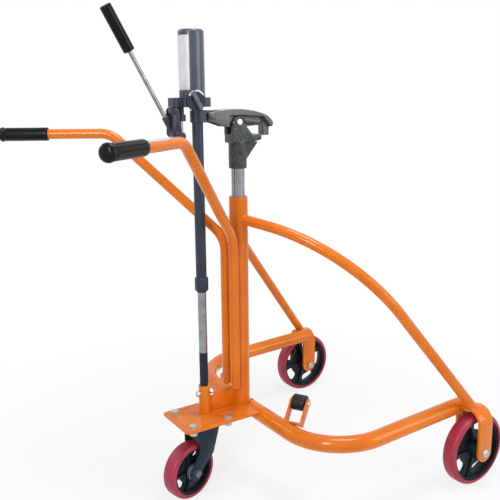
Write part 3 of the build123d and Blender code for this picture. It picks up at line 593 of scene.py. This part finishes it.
def threadPiece(diameter, start, end):  # a bolt's shank with thread turns and a chamfered tip
    thread = {"slack": 0.05, "pitch": 1.6, "depth": 0.8, "runOut": 1.5, "tip": 1.2, "sides": 40,
              "crest": 0.3, "root": 0.6, "nextCrest": 0.95}
    radius = diameter / 2 - thread["slack"]
    pitch = thread["pitch"]
    profile = [(radius, 0), (radius, start)]
    for i in range(max(1, int((end - start - thread["runOut"]) / pitch))):
        base = start + i * pitch
        profile.append((radius, base + pitch * thread["crest"]))
        profile.append((radius - thread["depth"], base + pitch * thread["root"]))
        profile.append((radius, base + pitch * thread["nextCrest"]))
    return turnPiece(profile + [(radius - thread["tip"], end)], thread["sides"])


def sectorPiece(inner, outer, bottom, top, fromAngle, toAngle):  # part of a ring or tube, cut by two planes
    sides = 180
    ring = [(inner, bottom), (outer, bottom), (outer, top), (inner, top), (inner, bottom)]
    piece = turnPiece(ring, sides, closed=True)
    editing(piece)
    for angle, sign in ((fromAngle, -1), (toAngle, 1)):
        turn = math.radians(angle)
        cutAway((0, 0, 0), (-sign * math.sin(turn), sign * math.cos(turn), 0))
    return doneEditing(piece)


# Places on the truck that several pieces share, millimetres

plateTop = high("base_plate").z
mast = middle("mast_tube")
mastRadius = high("mast_tube").x - mast.x
socket = middle("jack_socket")
socketRadius = high("jack_socket").x - socket.x
frontWheel = middle("front_tread_left")
fulcrum = middle("fulcrum_pin")
leverAxis = Vector((-math.sin(lever["lean"]), 0, math.cos(lever["lean"])))
caster = {"turn": math.radians(14), "centre": middle("caster_tread"), "width": 42, "forkHalf": 31}
casterAxis = Vector((-math.sin(caster["turn"]), math.cos(caster["turn"]), 0))
rollerTurn = math.radians(30)
handle = {"x": -307.903, "y": 199.6, "z": 949,  # where its two straight runs would meet
          "splay": math.radians(33.6), "footTurn": math.radians(35.4)}


def handleCorner(side):
    return Vector((handle["x"], side * handle["y"], handle["z"]))


def gripAxis(side):
    return Vector((-math.cos(handle["splay"]), side * math.sin(handle["splay"]), 0))


def rollerPlaces():
    return [(middle("guide_roller_" + name), (math.sin(rollerTurn), side * math.cos(rollerTurn), 0))
            for name, side in leftRight.items()]


# Castings: piece name, voxel in millimetres and smoothing steps

castings = {"clamp_head": ("clampHeadCasting", 1.3, 6), "pump_head": ("pumpHeadCasting", 1.2, 5),
            "lift_collar": ("liftCollarCasting", 1.0, 4), "lever_socket": ("leverSocketCasting", 0.8, 4),
            "release_lever": ("releaseBar", 0.6, 3)}
for nodeName, (pieceName, voxel, steps) in castings.items():
    castNode(nodeName, pieceName, voxel, steps)


def makeBeak():  # the casting swells to a round flank on both sides, under the crown
    flank = {"ahead": 23, "out": 10.5, "above": 3.5, "radius": 8.6, "length": 40, "fall": math.radians(8),
             "sides": 40, "voxel": 1.2, "steps": 6}
    r = flank["radius"]
    model = turnPiece(flipped(dome(r, r, 0)) + dome(r, r, flank["length"]), flank["sides"])
    axis = Vector((math.cos(flank["fall"]), 0, -math.sin(flank["fall"])))
    places = [(middle("pivot_pin") + Vector((flank["ahead"], side * flank["out"], flank["above"])), axis)
              for side in leftRight.values()]
    castNode("beak", "beakCasting", flank["voxel"], flank["steps"], spotsOf(model, places))


makeBeak()
print("castings made:", len(castings) + 1)


# Cut and pressed plates with their edges broken, by so many millimetres

plates = {"base_plate": ("basePlate", 0.9), "gusset_plate": ("gussetPlate", 0.8),
          "fork_left": ("forkBarLeft", 1.2), "fork_right": ("forkBarRight", 1.2),
          "roller_bracket_left": ("rollerBracketLeft", 0.8),
          "roller_bracket_right": ("rollerBracketRight", 0.8),
          "caster_plate": ("casterTopPlate", 0.8), "caster_fork": ("casterForkPressing", 1.8),
          "pump_link": ("pumpLinkPlates", 0.8), "front_hub_left": ("frontHubLeft", 0.7),
          "front_hub_right": ("frontHubRight", 0.7), "caster_hub": ("casterHub", 0.6)}
for nodeName, (pieceName, width) in plates.items():
    easeNode(nodeName, pieceName, width)
print("plates eased:", len(plates))


# Hand grips: fluted sleeves, the two on the handles with a ringed, domed knob

def gripPiece(grip, outline):  # a sleeve round a blind bore, with narrow grooves sunk along it
    flute = {"wide": 2, "edge": 0.6, "level": 0.1, "clear": 10}  # wide: how many sides, clear: of the axis
    pole = grip["pole"]
    bore = [(pole, grip["boreEnd"]), (grip["bore"], grip["boreEnd"]), (grip["bore"], 0)]
    piece = turnPiece(bore + outline + [(pole, grip["length"])], grip["sides"])
    every = grip["sides"] // grip["flutes"]
    sector = 2 * math.pi / grip["sides"]

    def onFlute(spot, normal):
        step = int((math.atan2(spot.y, spot.x) % (2 * math.pi)) / sector)
        onSleeve = grip["fluteFrom"] * mm < spot.z < grip["fluteTo"] * mm and abs(normal.z) < flute["level"]
        return onSleeve and step % every < flute["wide"] and spot.xy.length > flute["clear"] * mm
    editing(piece)
    pickFaces(piece, onFlute)
    bpy.ops.mesh.inset(thickness=flute["edge"] * mm, depth=-grip["depth"] * mm)
    return doneEditing(piece)


def makeGrips():
    grip = {"start": 159, "length": 127.2, "radius": 16.9, "bore": 12.72, "boreEnd": 119, "pole": 0.6,
            "sides": 96, "flutes": 12, "fluteFrom": 9, "fluteTo": 104, "depth": 1.0,
            "knob": 18.4, "knobAt": 116.8, "knobFlat": 6.6, "knobRise": 10, "knobSteps": 8}
    r = grip["radius"]
    sleeve = [(r - 1.8, 0), (r - 0.6, 0.7), (r, 2.6), (r, grip["fluteFrom"]), (r, grip["fluteTo"])]
    ring = [(r, 109), (r - 0.7, 110.6), (r - 1.0, 111.8), (r - 0.3, 113), (r + 0.9, 114.2),
            (grip["knob"] - 0.2, 115.4)]
    swell = grip["knob"] - grip["knobFlat"]
    knob = [(grip["knobFlat"] + swell * math.cos(t), grip["knobAt"] + grip["knobRise"] * math.sin(t))
            for t in sweep(0, 90, grip["knobSteps"])]
    places = [(handleCorner(side) + gripAxis(side) * grip["start"], gripAxis(side))
              for side in leftRight.values()]
    standPair(gripPiece(grip, sleeve + ring + knob), places, "handGrip", "grip_")


def makeLeverGrip():
    grip = {"length": 110, "radius": 13.4, "bore": 5.02, "boreEnd": 107, "pole": 0.6,
            "sides": 80, "flutes": 10, "fluteFrom": 7, "fluteTo": 101, "depth": 1.1}
    r = grip["radius"]
    sleeve = [(r - 2, 0), (r - 0.5, 0.8), (r, 2.6), (r, grip["fluteFrom"]), (r, grip["fluteTo"]), (r, 107)]
    end = [(r - 0.5, 108.7), (r - 1.9, 109.8), (r - 4, grip["length"])]
    piece = gripPiece(grip, sleeve + end)
    settle(piece, fulcrum + leverAxis * (lever["tip"] - grip["length"]), leverAxis)
    standFor(piece, "leverGrip", "lever_grip")


makeGrips()
makeLeverGrip()
print("grips made")


# Wheels: cast tyres, bearing rings and the rear swivel. A wheel's centre is as high as its radius

def tyrePiece(radius, width, sides):
    shoulder = {"round": 10, "wall": 13, "steps": 7}
    edge = shoulder["round"]
    half = width / 2
    inner = radius - shoulder["wall"]
    upper = [(radius - edge * (1 - math.sin(t)), half - edge * (1 - math.cos(t)))
             for t in sweep(90, 0, shoulder["steps"])]
    ring = [(inner, -half)] + flipped(upper) + [(radius, 0)] + upper + [(inner, half), (inner, -half)]
    return turnPiece(ring, sides, closed=True)


def makeTyres():
    sides = {"front": 128, "rear": 112}
    width = high("front_tread_left").y - low("front_tread_left").y
    places = [(Vector((frontWheel.x, side * frontWheel.y, frontWheel.z)), (0, 1, 0))
              for side in leftRight.values()]
    standPair(tyrePiece(frontWheel.z, width, sides["front"]), places, "frontTyre", "front_tread_")
    piece = tyrePiece(caster["centre"].z, caster["width"], sides["rear"])
    settle(piece, caster["centre"], casterAxis)
    standFor(piece, "casterTyre", "caster_tread")


def makeBearingRings():
    ring = {"inner": 20.02, "outer": 21.4, "start": 15.5, "end": 25.3, "round": 0.5, "sides": 72}
    inner, outer, start, end = ring["inner"], ring["outer"], ring["start"], ring["end"]
    edge = ring["round"]
    profile = [(inner, start), (outer - edge, start), (outer, start + edge), (outer, end - edge),
               (outer - edge, end), (inner, end), (inner, start)]
    model = turnPiece(profile, ring["sides"], closed=True)
    pair = spotsOf(model, [(caster["centre"], casterAxis), (caster["centre"], -casterAxis)])
    finishPiece(joined(pair), "casterBearingRings", "caster_wheel", "plated_steel", trimFinish["ring"])


def makeRace():  # two cups with a groove between them
    race = {"bore": 7.05, "height": 14, "sides": 96}
    cups = [(30, 0), (34.6, 0.9), (36.5, 3.1), (36.8, 5.7), (35, 6.7), (35, 7.7), (36.9, 8.7), (37, 13),
            (36, race["height"])]
    profile = [(race["bore"], 0)] + cups + [(race["bore"], race["height"]), (race["bore"], 0)]
    piece = turnPiece(profile, race["sides"], closed=True)
    settle(piece, Vector((middle("caster_plate").x, 0, low("swivel_race").z)))
    standFor(piece, "swivelCups", "swivel_race")


makeTyres()
makeBearingRings()
makeRace()
print("wheels dressed")


# Bolts, nuts and pins: a bolt has its seat at zero, its head below and its thread above

def makeBolt(size):
    disc = {"thick": 1.6, "bevel": 0.3, "edge": 1.2, "sides": 48}
    crown = {"step": 0.6, "flange": 1, "rim": 2.2, "base": 2.6, "steps": 8, "sides": 56}
    bore = size["d"] / 2
    under = -disc["thick"]
    reach = size["washer"] + disc["bevel"]
    ring = [(bore, under), (size["washer"], under), (reach, -disc["edge"]), (reach, 0), (bore, 0),
            (bore, under)]
    washer = turnPiece(ring, disc["sides"], closed=True)
    if size["domed"]:
        half = size["across"] / 2
        rim = [(half + crown["step"], under), (half + crown["flange"], -crown["rim"])]
        curve = dome(half + crown["flange"], size["head"] - crown["base"], crown["base"], crown["steps"])
        head = turnPiece(rim + [(radius, -height) for radius, height in curve], crown["sides"])
    else:
        head = lifted(hexPiece(size["across"], size["head"] - disc["thick"]), -size["head"])
    tail = threadPiece(size["d"], size["grip"], size["grip"] + size["nut"] + size["tail"])
    nut = lifted(hexPiece(size["nutAcross"], size["nut"], hole=bore), size["grip"])
    return joined([head, washer, tail, nut])


def makeCasterBolts():
    bolt = {"d": 12, "across": 19, "head": 6.5, "washer": 11.2, "domed": False,
            "grip": 11, "nut": 9, "nutAcross": 19, "tail": 3}
    off = 52  # from the kingpin, both ways
    centre = middle("caster_plate").x
    places = [(Vector((centre + x, y, plateTop)), -upward) for x in (-off, off) for y in (-off, off)]
    standFor(joined(spotsOf(makeBolt(bolt), places)), "casterBolts", "caster_bolts")


def makeSocketBolt():
    bolt = {"d": 8, "across": 13, "head": 8, "washer": 8, "domed": False,
            "grip": 30, "nut": 7, "nutAcross": 13, "tail": 2}
    piece = makeBolt(bolt)
    settle(piece, Vector((low("jack_socket").x, 0, middle("socket_bolt").z)), (1, 0, 0))
    standFor(piece, "socketBolt", "socket_bolt")


def makeAxles():
    front = {"d": 12, "across": 20, "head": 8, "washer": 11.6, "domed": True,
             "grip": 84, "nut": 9, "nutAcross": 19, "tail": 0}
    out = high("fork_left").y
    places = [(Vector((frontWheel.x, side * out, frontWheel.z)), (0, -side, 0))
              for side in leftRight.values()]
    standFor(joined(spotsOf(makeBolt(front), places)), "frontAxleBolts", "front_axles")
    rear = {"d": 12, "across": 18, "head": 8, "washer": 11, "domed": False,
            "grip": 62, "nut": 9, "nutAcross": 19, "tail": 0}
    piece = makeBolt(rear)
    settle(piece, caster["centre"] - casterAxis * caster["forkHalf"], casterAxis)
    standFor(piece, "casterAxleBolt", "caster_axle")


def pinPiece(size):  # a plain pin with a rounded, dimpled head at both ends, about its middle
    dimple = {"from": 0.35, "depth": 0.25, "pole": 0.5}
    head, edge = size["head"], size["round"]
    top = size["half"] + size["height"]
    upper = [(head, size["half"]), (head, top - edge)]
    for t in (0.5, 1.0, math.pi / 2):
        upper.append((head - edge * (1 - math.cos(t)), top - edge * (1 - math.sin(t))))
    upper += [(head * dimple["from"], top), (dimple["pole"], top - dimple["depth"])]
    shaft = [(size["shaft"], -size["half"]), (size["shaft"], size["half"])]
    return turnPiece(flipped(upper) + shaft + upper, sides=56)


def makePins():
    small = {"half": 17.5, "shaft": 4, "head": 6, "height": 2.5, "round": 1.6}
    pins = {"pivot_pin": ("pivotPin", {"half": 22, "shaft": 7.99, "head": 8, "height": 3, "round": 1.2}),
            "beak_pin": ("beakPin", {"half": 24, "shaft": 6, "head": 8.5, "height": 4, "round": 2.5}),
            "link_pin": ("linkPin", small), "fulcrum_pin": ("fulcrumPin", small)}
    for nodeName, (pieceName, size) in pins.items():
        piece = pinPiece(size)
        settle(piece, middle(nodeName), (0, 1, 0))
        standFor(piece, pieceName, nodeName)
    roller = {"half": 24.5, "shaft": 4.45, "head": 7, "height": 4, "round": 2.6}
    standFor(joined(spotsOf(pinPiece(roller), rollerPlaces())), "rollerPins", "roller_pins")


def makeRollers():  # a shallow groove round the middle, and a boss at each end
    half = [(21, 0), (21, 5), (20.6, 5.5), (20.6, 6.5), (21, 7), (21, 15.4), (20.5, 16.7), (19.2, 17.5),
            (18, 17.5), (17.4, 16.4), (10.4, 16.2), (9.6, 17.5), (4.56, 17.5)]
    profile = flipped(half[1:]) + half
    model = turnPiece(profile + [profile[0]], sides=72, closed=True)
    standPair(model, rollerPlaces(), "guideRoller", "guide_roller_")


makeCasterBolts()
makeSocketBolt()
makeAxles()
makePins()
makeRollers()
print("fasteners, pins and rollers made")


# Jack: gland with its wiper, dial marks, release screw, bare white panels

def makeGland():
    seat = Vector((socket.x, 0, low("gland_nut").z))
    bore = [(13.62, 35), (13.62, 15), (11.06, 15), (11.06, 0)]
    outer = [(14, 0), (15.9, 0.4), (17.1, 1.8), (17.5, 4.2), (17.5, 11.6), (16.8, 12.3), (16.8, 13.9),
             (17.5, 14.6), (17.5, 30.6), (17.1, 33.2), (15.9, 34.6), (14.4, 35)]
    piece = turnPiece(bore + outer + [bore[0]], sides=72, closed=True)
    settle(piece, seat)
    standFor(piece, "glandNut", "gland_nut")
    lip = [(11.1, -3.4), (12, -3.6), (13.2, -2.2), (13.6, 0), (11.1, 0), (11.1, -3.4)]
    piece = turnPiece(lip, sides=56, closed=True)
    settle(piece, seat)
    finishPiece(piece, "rodWiper", "jack_body", "black_rubber")


def makeReservoirPanel():
    panel = {"radius": 31, "lift": 0.02, "thick": 0.3, "low": 18, "high": 143, "from": -236, "to": -128}
    inner = panel["radius"] + panel["lift"]
    outer = inner + panel["thick"]
    piece = sectorPiece(inner, outer, panel["low"], panel["high"], panel["from"], panel["to"])
    settle(piece, Vector((high("reservoir").x - panel["radius"], 0, low("reservoir").z)))
    finishPiece(piece, "reservoirPanel", "jack_body", "jack_paint", trimFinish["panel"])


def makeHandlePanel():  # start and end along the handle, angles from its top
    layers = {"handlePanelEdge": {"inner": 12.72, "start": 60, "end": 153, "from": -45, "to": 4,
                                  "finish": "stickerEdge"},
              "handlePanel": {"inner": 12.93, "start": 61.5, "end": 151.5, "from": -42, "to": -10,
                              "finish": "sticker"}}
    thick = 0.2
    axis = gripAxis(-1)
    over = upward.rotation_difference(axis).to_matrix().inverted() @ upward
    top = math.degrees(math.atan2(over.y, over.x))
    for name, layer in layers.items():
        piece = sectorPiece(layer["inner"], layer["inner"] + thick, layer["start"], layer["end"],
                            top + layer["from"], top + layer["to"])
        settle(piece, handleCorner(-1), axis)
        finishPiece(piece, name, "frame", "frame_paint", trimFinish[layer["finish"]])


def makeDial():
    marks = {"thick": 0.25, "lift": 0.02, "arcs": [(18.8, 24.8, 106, 148), (21.4, 24.8, 32, 98)]}
    screw = {"radius": 4.2, "wall": 0.8, "crown": 1.4, "sides": 40}
    dial = middle("valve_dial")
    outward = (0, -1, 0)
    piece = joined([sectorPiece(inner, outer, 0, marks["thick"], fromAngle, toAngle)
                    for inner, outer, fromAngle, toAngle in marks["arcs"]])
    settle(piece, Vector((dial.x, low("valve_dial").y - marks["lift"], dial.z)), outward)
    finishPiece(piece, "dialMarks", "jack_body", "dial_plastic", trimFinish["panel"])
    rim = [(screw["radius"], 0), (screw["radius"], screw["wall"])]
    piece = turnPiece(rim + dome(screw["radius"], screw["crown"], screw["wall"]), screw["sides"])
    settle(piece, Vector((dial.x, low("release_lever").y, dial.z)), outward)
    finishPiece(piece, "releaseScrew", "release_lever", "valve_lever")


makeGland()
makeReservoirPanel()
makeHandlePanel()
makeDial()
print("jack dressed")


# Weld beads: overlapping drops along a seam, fused into one run

def alongSeam(points, step):
    spots = [points[0]]
    need = step
    for a, b in zip(points, points[1:]):
        run = (b - a).length
        while need <= run:
            spots.append(a.lerp(b, need / run))
            need += step
        need -= run
    return spots


def weldRuns(runs, name, radius, step=2.6):
    bead = {"around": 12, "rings": 8, "flat": 0.62, "swell": 0.1, "beat": 2.3, "voxel": 0.7, "steps": 2}
    clearPicks()
    bpy.ops.mesh.primitive_uv_sphere_add(segments=bead["around"], ring_count=bead["rings"],
                                         radius=radius * mm)
    drop = bpy.context.active_object
    editing(drop)
    bpy.ops.mesh.select_all(action="SELECT")
    bpy.ops.transform.resize(value=(1, 1, bead["flat"]))
    doneEditing(drop)
    drops = []
    for points in runs:
        spots = alongSeam(points, step)
        for i, spot in enumerate(spots):
            ahead = spots[min(i + 1, len(spots) - 1)] - spots[max(i - 1, 0)]
            turn = upward.rotation_difference(ahead).to_matrix().to_4x4()
            swell = 1 + bead["swell"] * math.sin(i * bead["beat"])
            twin = copied(drop)
            twin.matrix_world = Matrix.Translation(spot * mm) @ turn @ Matrix.Diagonal((swell, swell, 1, 1))
            drops.append(twin)
    bpy.data.objects.remove(drop)
    piece = joined(drops)
    applyPlace(piece)
    skinOver(piece, bead["voxel"], bead["steps"])
    finishPiece(piece, name, "frame", "frame_paint", crease="cast")


def ringRun(x, z, radius, fromAngle=0, toAngle=360):  # a level ring on the truck's middle plane
    turns = sweep(fromAngle, toAngle, 48)
    return [Vector((x + radius * math.cos(t), radius * math.sin(t), z)) for t in turns]


def seamRun(nodeName, onSeam, around):  # the node's own corner points on a seam, in order round it
    corners = [vertex.co / mm for vertex in nodes[nodeName].data.vertices]
    points = list({tuple(round(c, 2) for c in point): point for point in corners if onSeam(point)}.values())
    centre = sum(points, Vector()) / len(points)
    turn = Vector(around).normalized().rotation_difference(upward).to_matrix()

    def angle(point):
        flat = turn @ (point - centre)
        return math.atan2(flat.y, flat.x)
    points.sort(key=angle)
    return points + points[:1]


leg = {"x": mast.x + 31, "z": plateTop - 17, "radius": 21.35, "weldRadius": 21.6,  # at its rear
       "endY": 341.85, "rise": 18, "run": 467.35}  # from there to its front end


def makeFootWelds():
    foot = {"lift": 0.6, "out": 0.7, "from": 52, "to": 308}  # the mast's ring is open towards the bay
    ring = ringRun(mast.x, plateTop + foot["lift"], mastRadius + foot["out"], foot["from"], foot["to"])
    weldRuns([ring], "mastFootWeld", radius=2.8)
    foot = {"lift": 0.5, "out": 0.6}
    ring = ringRun(socket.x, plateTop + foot["lift"], socketRadius + foot["out"])
    weldRuns([ring], "socketFootWeld", radius=2.5)


def makeGussetWeld():
    seam = {"side": 3.5, "lift": 0.6, "gap": 2, "mastIn": 0.1, "mastTop": 56, "socketIn": 0.6,
            "socketTop": 45, "footFrom": 17, "footTo": 26}
    mastX = mast.x - mastRadius + seam["mastIn"]
    socketX = socket.x + socketRadius - seam["socketIn"]
    foot = plateTop + seam["lift"]
    start = plateTop + seam["gap"]
    runs = []
    for y in (-seam["side"], seam["side"]):
        runs.append([Vector((socket.x + seam["footFrom"], y, foot)),
                     Vector((mast.x - seam["footTo"], y, foot))])
        runs.append([Vector((mastX, y, start)), Vector((mastX, y, plateTop + seam["mastTop"]))])
        runs.append([Vector((socketX, y, start)), Vector((socketX, y, plateTop + seam["socketTop"]))])
    weldRuns(runs, "gussetWeld", radius=2.2, step=2.2)


def makeLegJoinWeld():  # where the two legs meet, under the plate
    seam = {"from": -60, "to": -300, "steps": 40}
    r = leg["weldRadius"]
    turns = sweep(seam["from"], seam["to"], seam["steps"])
    run = [Vector((leg["x"] + r * math.cos(t), 0, leg["z"] + r * math.sin(t))) for t in turns]
    weldRuns([run], "legJoinWeld", radius=2.4)


def makePlateFrontWeld():
    seam = {"back": 0.833, "lift": 0.4, "from": 27, "to": 71}
    x = high("base_plate").x - seam["back"]
    z = plateTop + seam["lift"]
    runs = [[Vector((x, side * seam["from"], z)), Vector((x, side * seam["to"], z))] for side in (-1, 1)]
    weldRuns(runs, "plateFrontWeld", radius=2.4)


def legEndRun(side):  # where a leg's end sits against the rear edge and the arch of its fork
    seam = {"ahead": 21, "from": 13.5, "to": -91, "steps": 24}
    rear = low("fork_left").x
    turns = sweep(seam["from"], seam["to"], seam["steps"])

    def at(x, turn):
        height = leg["z"] + leg["rise"] * (x - leg["x"]) / leg["run"]
        out = leg["endY"] + leg["weldRadius"] * math.cos(turn)
        return Vector((x, side * out, height + leg["weldRadius"] * math.sin(turn)))
    ends = [at(rear + seam["ahead"], turn) for turn in (turns[0], turns[-1])]
    return ends[:1] + [at(rear, turn) for turn in turns] + ends[1:]


def handleStitches(side):  # short runs up the mast, beside a handle's upright foot
    stitch = {"in": 24.2, "aside": 5.5, "heights": ((277, 300), (440, 488), (600, 640))}
    out = Vector((-math.cos(handle["footTurn"]), side * math.sin(handle["footTurn"]), 0))
    across = Vector((out.y, -out.x, 0)) * -side
    foot = Vector((mast.x, 0, 0)) + out * stitch["in"] + across * stitch["aside"]
    return [[foot + upward * bottom, foot + upward * top] for bottom, top in stitch["heights"]]


def makeSideWelds():
    arch = {"y": middle("fork_left").y, "z": 180, "radius": 42}
    gap = 0.12  # corners this near to a surface are on its seam

    def onMast(p):
        return abs(math.hypot(p.x - mast.x, p.y) - mastRadius) < gap

    def onArch(p):
        return abs(math.hypot(abs(p.y) - arch["y"], p.z - arch["z"]) - arch["radius"]) < gap

    def onLeg(p):
        return abs(math.hypot(p.x - leg["x"], p.z - leg["z"]) - leg["radius"]) < gap
    for name, side in leftRight.items():
        end = name.title()
        run = seamRun("brace_" + name, onMast, around=(0.4, side * 0.9, -0.15))
        weldRuns([run], "braceTopWeld" + end, radius=2.6)
        run = seamRun("brace_" + name, onArch, around=(0.6, side * 0.15, -0.78))
        weldRuns([run], "braceFootWeld" + end, radius=2.8)
        weldRuns([legEndRun(side)], "legEndWeld" + end, radius=2.6)
        run = seamRun("roller_bracket_" + name, onLeg, around=(-0.7, 0, -0.7))
        weldRuns([run], "bracketWeld" + end, radius=2.2, step=2.2)
        weldRuns(handleStitches(side), "handleStitch" + end, radius=2.6)


makeFootWelds()
makeGussetWeld()
makeLegJoinWeld()
makePlateFrontWeld()
makeSideWelds()
print("welds laid")


# Camera, floor and lights

def addCamera():
    view = {"at": Vector((-1007.973, -1531.2, 1053.3)), "right": Vector((0.83776, -0.54594, -0.00979)),
            "forward": Vector((0.53076, 0.81842, -0.22022)), "lens": 50.91, "sensor": 36.0}
    forward = view["forward"].normalized()
    right = (view["right"] - forward * forward.dot(view["right"])).normalized()
    lens = bpy.data.cameras.new("photoCamera")
    lens.lens = view["lens"]
    lens.sensor_width = view["sensor"]
    camera = bpy.data.objects.new("photoCamera", lens)
    bpy.context.scene.collection.objects.link(camera)
    turn = Matrix((right, right.cross(forward), -forward)).transposed().to_4x4()
    camera.matrix_world = Matrix.Translation(view["at"] * mm) @ turn
    bpy.context.scene.camera = camera


def seenDirect(b):  # 1 for what the camera, a mirror or glass sees
    rays = [b.put("LightPath", out="Is " + name + " Ray") for name in ("Camera", "Glossy", "Transmission")]
    return b.put("Math", {"operation": "MINIMUM"}, {0: rays[0] + rays[1] + rays[2], 1: 1.0})


def addFloor():  # metres: near the truck this share of white over the lit floor, all white from far on
    floor = {"side": 16.0, "cuts": 8, "near": 0.45, "far": 1.3, "share": 0.78, "paper": (3.0, 3.0),
             "light": linear(243, 243, 243), "dull": linear(240, 240, 240)}
    clearPicks()
    bpy.ops.mesh.primitive_grid_add(x_subdivisions=floor["cuts"], y_subdivisions=floor["cuts"],
                                    size=floor["side"])
    sheet = bpy.context.active_object
    sheet.name = "studioFloor"
    material, b = newMaterial("paleFloor")
    away = b.put("VectorMath", {"operation": "LENGTH"}, {0: b.here}, out="Value")
    share = floor["share"] + (1 - floor["share"]) * b.ramp(away, floor["near"], floor["far"])
    paper = b.noise(*floor["paper"])
    lit = b.put("BsdfDiffuse", None, {"Color": b.mix(paper, floor["light"], floor["dull"])})
    glow = b.put("Emission", None, {"Color": (1, 1, 1, 1), "Strength": 1.0})
    b.finish(b.put("MixShader", None, {0: share * seenDirect(b), 1: lit, 2: glow}))
    sheet.data.materials.append(material)


def addLights():  # metres and watts
    lamps = {"top": {"at": (0.2, -0.4, 3.0), "aim": (0.0, 0.0, 0.5), "size": (1.0, 1.0), "power": 37},
             "key": {"at": (-2.4, -1.7, 1.9), "aim": (0.0, 0.0, 0.6), "size": (0.6, 1.7), "power": 42},
             "fill": {"at": (1.6, -2.5, 1.5), "aim": (0.0, 0.0, 0.5), "size": (1.3, 1.7), "power": 27},
             "back": {"at": (-1.9, 2.4, 2.4), "aim": (0.0, 0.0, 0.6), "size": (1.1, 0.8), "power": 12}}
    for name, look in lamps.items():
        lamp = bpy.data.lights.new(name + "Softbox", "AREA")
        lamp.shape = "RECTANGLE"
        lamp.size, lamp.size_y = look["size"]
        lamp.energy = look["power"]
        box = bpy.data.objects.new(name + "Softbox", lamp)
        bpy.context.scene.collection.objects.link(box)
        box.location = look["at"]
        box.rotation_euler = (Vector(look["aim"]) - Vector(look["at"])).to_track_quat("-Z", "Y").to_euler()


def addAir():  # an even grey light, seen as white
    air = {"strength": 0.3, "seenStrength": 1.0}
    world = bpy.data.worlds.new("studioAir")
    world.use_nodes = True
    bpy.context.scene.world = world
    b = Board(world.node_tree)
    lit = b.put("Background", None, {"Color": (1, 1, 1, 1), "Strength": air["strength"]})
    white = b.put("Background", None, {"Color": (1, 1, 1, 1), "Strength": air["seenStrength"]})
    b.finish(b.put("MixShader", None, {0: seenDirect(b), 1: lit, 2: white}), "OutputWorld")
    bpy.context.scene.view_settings.view_transform = "Standard"


addCamera()
addFloor()
addLights()
addAir()
print("camera, floor and lights set")
